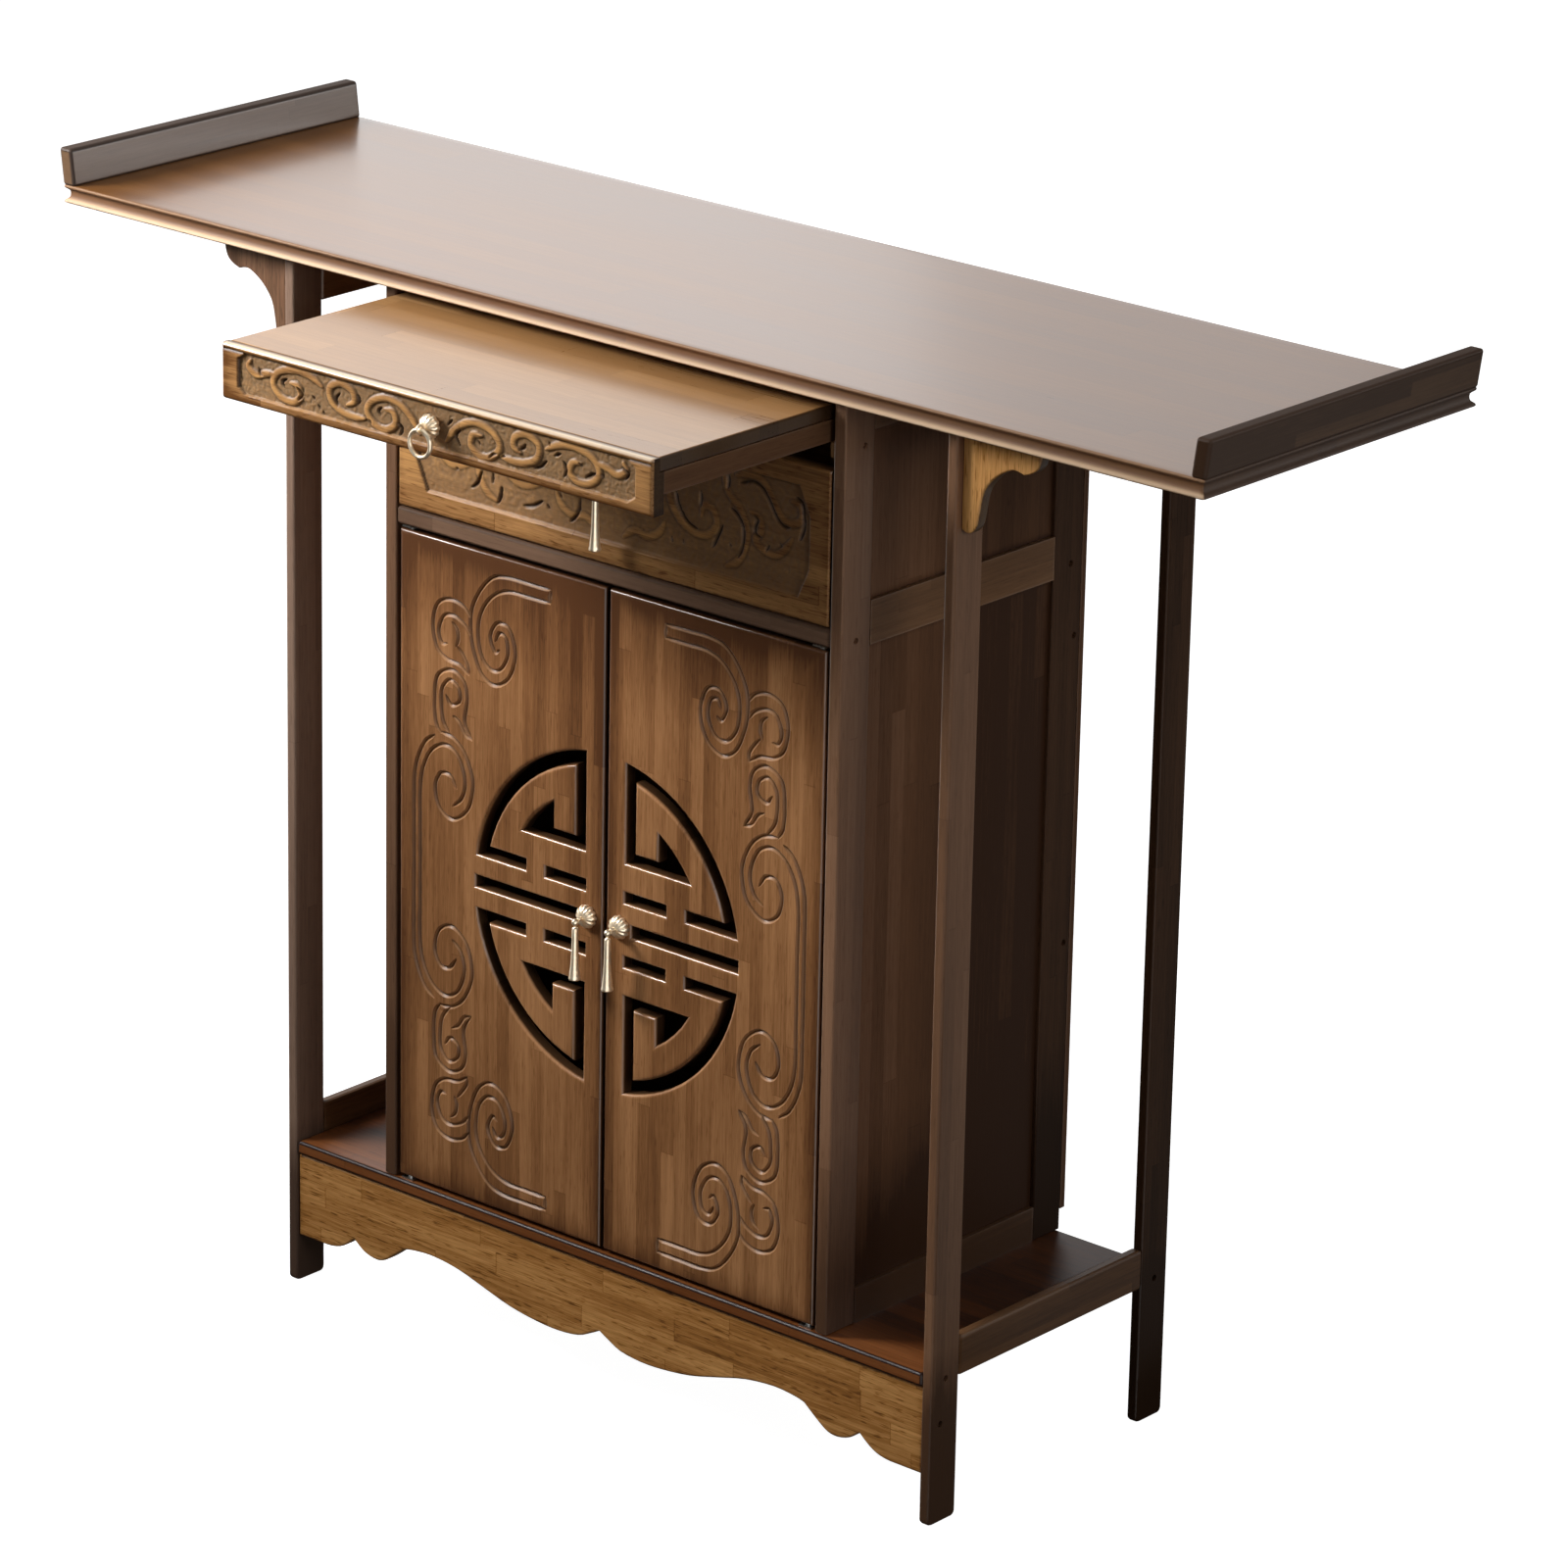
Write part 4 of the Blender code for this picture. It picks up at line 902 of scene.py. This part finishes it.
def board_stops(low, high, rounding, spacing):
    """Places across a board: close together round its edges, and evenly spaced between them."""
    edge = ROUND_STEPS[:4] * rounding
    middle = np.linspace(low + rounding, high - rounding, round((high - low - 2 * rounding) / spacing) + 1)
    return np.concatenate([low + edge, middle, high - edge[::-1]])


def sunk_panel(x, z, panel):
    """One inside a panel with cut corners and nothing outside it, eased in over the panel's wall."""
    half, foot, head, (cut_x, cut_z) = panel
    across, rise, drop = half - np.abs(x), z - foot, head - z
    corners = [(across * cut_z + way * cut_x - cut_x * cut_z) / math.hypot(cut_x, cut_z)
               for way in (rise, drop)]
    inside = np.clip(np.minimum.reduce([across, rise, drop, *corners]) / PANEL_WALL, 0, 1)
    return inside ** 2 * (3 - 2 * inside)


def deepest(points, lines, width, taper, shape):
    """The strongest share of any line at each point. Each line is smoothed, tapered and then shaped."""
    found = np.zeros(len(points))
    for drawn in lines:
        line = smooth_line(drawn)
        found = np.maximum(found, shape(share_of_cut(points, line, tapered(line, width, taper))))
    return found


def closed_front(x, z, depth, low, high, behind):
    """A grid of depths under a front face, walls that fan out from the four back corners, and a flat back."""
    columns, rows = x.shape
    faces = grid_quads(columns, rows).tolist()
    number = np.arange(columns * rows).reshape(columns, rows)
    back = number.size + np.arange(4)
    for side, walk in enumerate((number[:, 0], number[-1], number[::-1, -1], number[0, ::-1])):
        near, far, middle = back[side], back[(side + 1) % 4], len(walk) // 2
        corner = np.where(np.arange(len(walk) - 1) < middle, near, far)
        faces += np.column_stack([walk[:-1], corner, walk[1:]]).tolist() + [(walk[middle], near, far)]
    faces.append(tuple(back[::-1]))
    corners = [(low.x, behind, low.z), (high.x, behind, low.z), (high.x, behind, high.z),
               (low.x, behind, high.z)]
    return np.vstack([np.column_stack([x.ravel(), low.y + depth.ravel(), z.ravel()]), corners]), faces


def carved_front(node, body, finish, rounding, spacing, panel, bands, strokes, seed, band, stroke, lip=None):
    """A board front with a sunk panel, carved with raised bands and short gouge strokes.

    The depth is a quarter circle round the board's edge; plus the recess, which eases in over the panel's
    wall; less the raised bands, half round and alike on both sides of the middle line; plus the strokes,
    narrow and steep; plus a fine stipple, which is seeded noise spread over its neighbours. A band is
    given by its half width and height, and a stroke by its half width and depth.

    Painted shade darkens the strokes, the left and upper walls of the panel, the foot of each band, the
    groove, the board's ends and all behind its front face, and the board's upper edge is painted pale,
    partly as wear and partly as a highlight. A lip gives the thickness of a thin board, how far below
    its top a groove runs, and the height of the batten that stands behind it, painted dark as shade.
    """
    low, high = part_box(node)
    x, z = np.meshgrid(board_stops(low.x, high.x, rounding, spacing),
                       board_stops(low.z, high.z, rounding, spacing), indexing="ij")
    edge_x = np.clip(1 - np.minimum(x - low.x, high.x - x) / rounding, 0, 1)
    edge_z = np.clip(1 - np.minimum(z - low.z, high.z - z) / rounding, 0, 1)
    places, sunk = np.column_stack([x.ravel(), z.ravel()]), sunk_panel(x, z, panel)
    raised = deepest(np.abs(places), bands, band[0], BAND_TAPER, lambda share: np.sqrt(share * (2 - share)))
    foot = deepest(np.abs(places), bands, band[0] * FOOT_REACH, BAND_TAPER,
                   lambda share: share * FOOT_REACH / (FOOT_REACH - 1))
    struck = deepest(places, strokes, stroke[0], STROKE_TAPER, lambda share: share ** 0.35)
    raised, struck = raised.reshape(x.shape) * sunk, struck.reshape(x.shape) * sunk
    stipple = np.random.default_rng(seed).standard_normal(x.shape)
    for _ in range(2):
        stipple = (stipple + sum(np.roll(stipple, step, axis) for step in (-1, 1) for axis in (0, 1))) / 5
    depth = rounding * (1 - np.sqrt(1 - np.minimum(edge_x ** 2 + edge_z ** 2, 1)))
    depth += RECESS * sunk - band[1] * raised + stroke[1] * struck
    depth += STIPPLE * stipple * sunk * (1 - raised)
    # painted shade: in the strokes, on the panel's walls that face away from the light, and at the foot of
    # each band
    wall = np.maximum(np.diff(sunk, axis=0, prepend=0), -0.5 * np.diff(sunk, axis=1, append=0))
    dark = np.maximum.reduce([struck, PANEL_WALL_SHADE * np.clip(wall / wall.max(), 0, 1),
                              OUTLINE * np.minimum(foot.reshape(x.shape), 1) * sunk * (1 - raised)])
    thickness = high.y - low.y
    if lip:
        thickness, groove, batten = lip
        grooved = np.clip(1 - np.abs(high.z - groove - z) / GROOVE_WIDTH, 0, 1) * (1 - edge_x)
        depth += GROOVE_DEPTH * grooved
        # the groove is painted dark as shade
        dark = np.maximum(dark, grooved)
    # the board's ends are painted dark as shade
    dark = np.where((x == low.x) | (x == high.x), 1.0, dark)
    behind = low.y + thickness
    points, faces = closed_front(x, z, depth, low, high, behind)
    if lip:
        block, sides, _ = rounded_board((low.x, behind + SEAM, low.z), (high.x, high.y, batten), SEAM * 5)
        faces += [[corner + len(points) for corner in side] for side in sides]
        points = np.vstack([points, block])
    upper = edge_z * (z > (low.z + high.z) / 2)
    # each mark over the carved front, and what it is on the rest of the board
    marks = {"rim": (np.minimum(2 * upper, 1), 0), "raised": (raised, 0), "cut": (dark, 1),
             "worn_and_highlit": (upper * (1 - edge_x) * EDGE_WEAR_AND_HIGHLIGHT, 0),
             "ground": (sunk * (1 - raised) * (1 + 0.5 * stipple), 0)}
    marks = {mark: np.concatenate([values.ravel(), np.full(len(points) - values.size, float(rest))])
             for mark, (values, rest) in marks.items()}
    return put(node + "_board", points, faces, body, finish, [node], marks, sharp=60)


DRAWER_PANEL = 0.2090, 0.7375, 0.8290, (0.0110, 0.0240)     # half width, foot, head, corner cut
DRAWER_BANDS = (
    ((60, 800), (64, 786), (74, 773), (90, 766), (104, 768), (112, 778), (108, 789), (98, 790), (96, 781)),
    ((118, 822), (124, 806), (136, 796), (143, 782), (142, 766), (134, 752), (122, 746)),
    ((131, 822), (146, 826), (160, 822), (171, 809), (179, 798), (190, 795), (199, 801), (197, 811),
     (188, 813)),
    ((146, 796), (156, 792), (158, 782), (152, 774), (160, 768), (172, 766), (182, 772), (190, 783)),
    ((8, 826), (16, 812), (30, 804), (44, 808), (48, 820), (38, 824)),
    ((14, 746), (26, 754), (40, 752), (52, 758), (58, 768)),
)
DRAWER_STROKES = (
    ((69, 795), (72, 785), (78, 776), (85, 771), (92, 769)), ((95, 801), (95.5, 795), (95, 788)),
    ((123, 821), (123.5, 815), (123, 809)),
    ((126, 794), (133, 790), (139, 782), (140, 772), (138, 762), (134, 755)), ((125, 765), (127, 763)),
    ((118, 778), (113, 768), (108, 758)),
    ((135, 816), (148, 820), (158, 817), (166, 808), (173, 797), (180, 791), (187, 791)),
    ((150, 793), (154, 790), (151, 783), (153, 778), (158, 777)),
    ((193, 817), (199, 813), (201, 803), (201, 793), (197, 783)),
    ((177, 776), (179, 774)), ((166, 772), (163, 767)), ((65, 757), (66, 753)), ((77, 757), (77.5, 755)),
    ((-150, 751), (-143, 757), (-139, 766)), ((-167, 764), (-165, 763)), ((-127, 767), (-127, 760)),
    ((-117, 758), (-118, 751), (-121, 744)), ((-93, 748), (-83, 750), (-73, 756)), ((-67, 754), (-65, 752)),
    ((-54, 766), (-52, 764)), ((-42, 746), (-34, 755), (-32, 767)),
)
# the drawer front is painted a little darker to the right, as the tray's shadow
DRAWER_STAIN = dict(GOLDEN_STAIN, mid=linear(168, 122, 74), ground=linear(136, 104, 72), cut=0.9, rim=0,
                    rim_coat=0.8, shades=(("X", 0.0, 0.16, -0.08),))
finish = board_finish("drawer_front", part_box("drawer_front"), "X", "Z", DRAWER_STAIN)
carved_front("drawer_front", "drawer", finish, rounding=0.0020, spacing=0.0010, panel=DRAWER_PANEL,
             bands=DRAWER_BANDS, strokes=DRAWER_STROKES, seed=5, band=(0.0036, 0.0006),
             stroke=(0.0018, 0.0020))

INNER_STAIN = stained((110, 74, 40), (146, 104, 62), (176, 134, 88), strip=0.018, block=0.25, strips=0.3,
                      grain=0.5, flecks=0.1, clouds=0.3, seam=0.2, roughness=0.6, rim_coat=0.0)
for side in SIDES:
    dress_board(side + "_drawer_side", "Y", "Z", INNER_STAIN)
dress_board("drawer_back", "X", "Z", INNER_STAIN)
dress_board("drawer_bottom", "X", "Y", INNER_STAIN)


# ---- tray ----
# The tray slides out over the drawer. Its front is carved with a running scroll, rounded and rubbed
# golden on a stippled ground; its board is pale and glossy, and rides on two rails.

FACING = 0.0082         # thickness of the tray's carved facing
LIP_DEPTH = 0.0046      # how far the groove runs below the facing's top
TRAY_ROUNDING = 0.0015
TRAY_PANEL = 0.2100, 0.8600, 0.8940, (0.0080, 0.0050)
TRAY_BANDS = (
    ((14, 868), (22, 878), (35, 887), (50, 889), (64, 884), (70, 875), (62, 866), (50, 864), (40, 870),
     (42, 879), (51, 880)),
    ((72, 868), (82, 867), (95, 868), (108, 874), (110, 885), (98, 891), (86, 887), (84, 879), (91, 875)),
    ((118, 884), (132, 890), (150, 891), (166, 886), (172, 876), (164, 867), (150, 865), (142, 871),
     (145, 879), (153, 880)),
    ((168, 884), (180, 882), (190, 879), (199, 884), (196, 890)),
)
TRAY_STROKES = (
    ((-188, 885), (-186, 881), (-183, 880)), ((-157, 882), (-162, 879), (-160, 875)),
    ((-145, 878), (-140, 873), (-144, 868)), ((-129, 874), (-127, 872)), ((-123, 868), (-121, 866)),
    ((-118, 864), (-116, 862)), ((-100, 882), (-104, 877), (-101, 872)),
    ((-80, 885), (-78, 881), (-80, 878)),
    ((-55, 880), (-58, 877), (-56, 874)), ((-67, 868), (-65, 866)), ((-37, 872), (-33, 868), (-35, 862)),
    ((15, 881), (20, 886)), ((29, 880), (24, 875), (28, 867)), ((47, 875), (49, 873)),
    ((60, 865), (63, 868), (67, 869)), ((72, 868), (76, 869)), ((90, 877), (95, 880), (96, 883)),
    ((105, 866), (111, 868), (118, 874)), ((120, 889), (122, 887)), ((126, 880), (132, 883)),
    ((135, 877), (139, 872), (136, 866)), ((152, 880), (154, 878)), ((158, 870), (163, 873), (168, 875)),
    ((174, 876), (176, 874)), ((195, 886), (201, 882), (198, 877)),
)
# the facing's upper edge is painted near white, partly wear and partly a painted highlight, and its left end
# and lower edge are painted darker as shade
FACING_STAIN = dict(DRAWER_STAIN, ground=linear(134, 108, 79), rubbed=linear(244, 224, 196), raised=0.12,
                    shades=(("X", -0.206, -0.222, -0.25), ("Z", 0.862, 0.856, -0.30)))
finish = board_finish("tray_front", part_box("tray_front"), "X", "Z", FACING_STAIN)
carved_front("tray_front", "tray", finish, rounding=0.0025, spacing=0.0007, panel=TRAY_PANEL,
             bands=TRAY_BANDS, strokes=TRAY_STROKES, seed=3, band=(0.0034, 0.0015), stroke=(0.0016, 0.0020),
             lip=(FACING, LIP_DEPTH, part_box("tray_board")[0].z - SEAM))

# its rounded edges are painted darker, as the shade of the seam behind the facing
PALE_STAIN = {**TOP_STAIN, **stained((126, 88, 51), (160, 118, 74), (192, 148, 101), coat=0.25, specular=0.35,
                                     strip=0.022, block=0.22, strips=0.26, rim_tone=-0.3, rim_dull=0.0)}
low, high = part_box("tray_board")
low.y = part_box("tray_front")[0].y + FACING + SEAM
points, faces, marks = rounded_board(low, high, TRAY_ROUNDING)
# painted shade: the left and right edges are dark, full on the last 0.2 mm, and faded out 0.8 mm in
outwards = np.abs(points[:, 0] - (low.x + high.x) / 2) - (high.x - low.x) / 2
marks["cut"] = np.clip((outwards + 0.0008) / 0.0006, 0, 1)
finish = board_finish("tray_board", (low, high), "X", "Y", PALE_STAIN)
put("tray_board_panel", points, faces, "tray", finish, ["tray_board"], marks)
# the rails, in the tray's shade, take the shade-darkened stain
for side in SIDES:
    dress_board(side + "_tray_rail", "Y", "X", SHADE_DARKENED_STAIN)
    dress_board(side + "_tray_runner", "Y", "X", INNER_STAIN)


# ---- brass pulls and steel pivots ----
# Each drop hangs by its ball from the stem of a fluted rosette, and the tray's ring hangs from an eye.
# They are pale cast brass, polished, with a little tarnish. The doors' pivots are bright steel.

PLATE, DOME, STEM = 0.0015, 0.0062, 0.0016
FLUTES, FLUTING = 12, 0.11
EYE_RADIUS, EYE_WIRE = 0.0033, 0.0011
RING_FULLNESS = 1.25    # the ring's wire, beside half the depth of its frame node
BALL, BALL_TURN = 0.0030, 2.75      # its radius, and how far its profile turns before the neck
# below the ball: radius and depth under its middle, in mm
DROP_PROFILE = ((1.0, 2.9), (0.9, 3.5), (1.2, 4.1), (2.2, 4.6), (2.6, 5.4), (2.7, 12.0), (2.85, 20.0),
                (3.05, 27.0), (3.35, 33.0), (3.75, 38.0), (4.2, 42.0), (4.5, 45.6), (4.6, 46.3), (4.9, 47.2),
                (5.0, 48.4), (4.75, 49.1), (4.1, 49.4), (0.0, 49.4))


def metal_finish(name, bright, dull, roughness, metallic=1.0):
    """Polished metal: noise and the hollows mix in the tarnished colour, which dulls the polish."""
    finish = bpy.data.materials.new(name)
    finish.use_nodes = True
    tree = finish.node_tree
    shader = tree.nodes["Principled BSDF"]
    place = add_node(tree, "ShaderNodeTexCoord").outputs["Object"]
    noise = add_node(tree, "ShaderNodeTexNoise", {"Vector": place, "Scale": 260.0, "Detail": 3.0})
    patches = maths(tree, "MULTIPLY_ADD", noise.outputs["Fac"], 1.6, -0.6)
    hollows = maths(tree, "MULTIPLY", drawn_mark(tree, "cut"), 0.8)
    tarnish = maths(tree, "ADD", patches, hollows, clamp=True)
    tree.links.new(mixed(tree, tarnish, bright, dull), shader.inputs["Base Color"])
    tree.links.new(maths(tree, "MULTIPLY_ADD", tarnish, 0.12, roughness), shader.inputs["Roughness"])
    shader.inputs["Metallic"].default_value = metallic
    return finish


BRASS = metal_finish("pale brass", linear(255, 240, 212), linear(250, 216, 174), 0.28, 0.75)
STEEL = metal_finish("bright steel", linear(206, 206, 204), linear(150, 148, 144), 0.26)


def turned_form(profile, steps, flutes=0, fluting=0.0, start=0.0):
    """A profile of (radius, height) carried round the Z axis, with one point where it meets the axis.

    Away from the axis a flute draws the radius and the height above the start in by the fluting times
    1 - |cos(flutes * angle / 2)|, in step with the square of the radius.
    """
    profile = np.array(profile, float)
    angle = np.linspace(0.0, 2 * math.pi, steps, endpoint=False)
    groove = fluting * (1 - np.abs(np.cos(flutes * angle / 2)))
    ring = profile[1:-1]
    shrink = 1 - groove * (ring[:, :1] / ring[:, 0].max()) ** 2
    radius, height = ring[:, :1] * shrink, start + (ring[:, 1:] - start) * shrink
    around = np.stack([radius * np.cos(angle), radius * np.sin(angle), height], axis=-1).reshape(-1, 3)
    points = np.vstack([(0, 0, profile[0, 1]), around, (0, 0, profile[-1, 1])])
    loop = np.arange(steps)
    after, last = (loop + 1) % steps, 1 + (len(ring) - 1) * steps
    faces = (1 + ring_quads(len(ring), steps)).tolist()
    faces += np.column_stack([np.zeros(steps, int), 1 + loop, 1 + after]).tolist()
    faces += np.column_stack([np.full(steps, len(points) - 1), last + after, last + loop]).tolist()
    hollow = np.broadcast_to(groove / max(fluting, 1e-9), (len(ring), steps))
    hollow = hollow * (ring[:, :1] / ring[:, 0].max())
    return points, faces, np.concatenate([[0.0], hollow.ravel(), [0.0]])


def hoop(centre, radius, wire, across, steps=56, round_steps=16):
    """A ring of round wire: the wire's circle carried round the ring's, which lies across one axis."""
    turn = np.linspace(0.0, 2 * math.pi, steps, endpoint=False)[:, None]
    roll = np.linspace(0.0, 2 * math.pi, round_steps, endpoint=False)
    reach = radius + wire * np.cos(roll)
    side = np.broadcast_to(wire * np.sin(roll), (steps, round_steps))
    order = {"X": (side, reach * np.cos(turn), reach * np.sin(turn)),
             "Y": (reach * np.sin(turn), side, reach * np.cos(turn))}[across]
    points = np.array(centre) + np.stack(order, axis=-1).reshape(-1, 3)
    i, j = np.divmod(np.arange(steps * round_steps), round_steps)
    on, up = (i + 1) % steps, (j + 1) % round_steps
    faces = np.column_stack([i * round_steps + j, on * round_steps + j, on * round_steps + up,
                             i * round_steps + up]).tolist()
    return points, faces, np.zeros(len(points))


def joined(*forms):
    """Several forms as one: points, faces and hollows one after the other."""
    start = np.cumsum([0] + [len(points) for points, _, _ in forms]).tolist()
    faces = [[corner + first for corner in face] for first, (_, made, _) in zip(start, forms)
             for face in made]
    return (np.vstack([points for points, _, _ in forms]), faces,
            np.concatenate([hollow for _, _, hollow in forms]))


def facing_front(form, place):
    """Turn a form from the Z axis to the front, and stand it on its place on the wood."""
    points, faces, hollow = form
    return np.column_stack([points[:, 0], -points[:, 2], points[:, 1]]) + np.array(place), faces, hollow


def rosette(low, high, reach):
    """A fluted dome on a thin plate, with a plain stem to its front."""
    radius = (high.x - low.x) / 2
    bow = np.linspace(0.12, math.pi / 2, 12)
    cap = [(0.0, PLATE + DOME)] + [(radius * math.sin(a), PLATE + DOME * math.cos(a)) for a in bow]
    cap += [(radius, PLATE / 2), (radius * 0.99, 0.0), (0.0, 0.0)]
    stem = [(0.0, reach), (STEM * 0.7, reach), (STEM, reach - 0.0005), (STEM, PLATE + DOME / 2), (0.0, PLATE)]
    place = ((low.x + high.x) / 2, high.y, (low.z + high.z) / 2)
    return [facing_front(turned_form(cap, 120, FLUTES, FLUTING, PLATE), place),
            facing_front(turned_form(stem, 20), place)]


def brass_piece(name, body, forms, node):
    """One piece of brass made of several forms, in place of its frame node."""
    points, faces, hollow = joined(*forms)
    put(name, points, faces, body, BRASS, [node], {"cut": hollow}, sharp=70)


for body in ("drawer", "left_door", "right_door"):
    low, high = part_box(body + "_rosette")
    brass_piece(body + "_rosette_brass", body, rosette(low, high, high.y - low.y), body + "_rosette")
    low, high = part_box(body + "_drop")
    ball = [(BALL * math.sin(a), BALL * math.cos(a)) for a in np.linspace(0, BALL_TURN, 12)]
    points, faces, hollow = turned_form(ball + [(r * MM, -d * MM) for r, d in DROP_PROFILE], 40)
    points = points + np.array(((low.x + high.x) / 2, (low.y + high.y) / 2, high.z - BALL))
    brass_piece(body + "_drop_brass", body, [(points, faces, hollow)], body + "_drop")

low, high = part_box("tray_rosette")
eye = ((low.x + high.x) / 2, low.y + EYE_RADIUS + EYE_WIRE, (low.z + high.z) / 2)
reach = high.y - eye[1] - EYE_RADIUS
brass_piece("tray_rosette_brass", "tray",
            rosette(low, high, reach) + [hoop(eye, EYE_RADIUS, EYE_WIRE, "X", 40)], "tray_rosette")
low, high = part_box("tray_pull_ring")
wire = (high.y - low.y) / 2 * RING_FULLNESS
brass_piece("tray_ring_brass", "pull_ring", [hoop((low + high) / 2, (high.x - low.x) / 2 - wire, wire, "Y")],
            "tray_pull_ring")
for side in SIDES:
    for level in ("lower", "upper"):
        dress(f"{side}_door_{level}_pivot", STEEL)
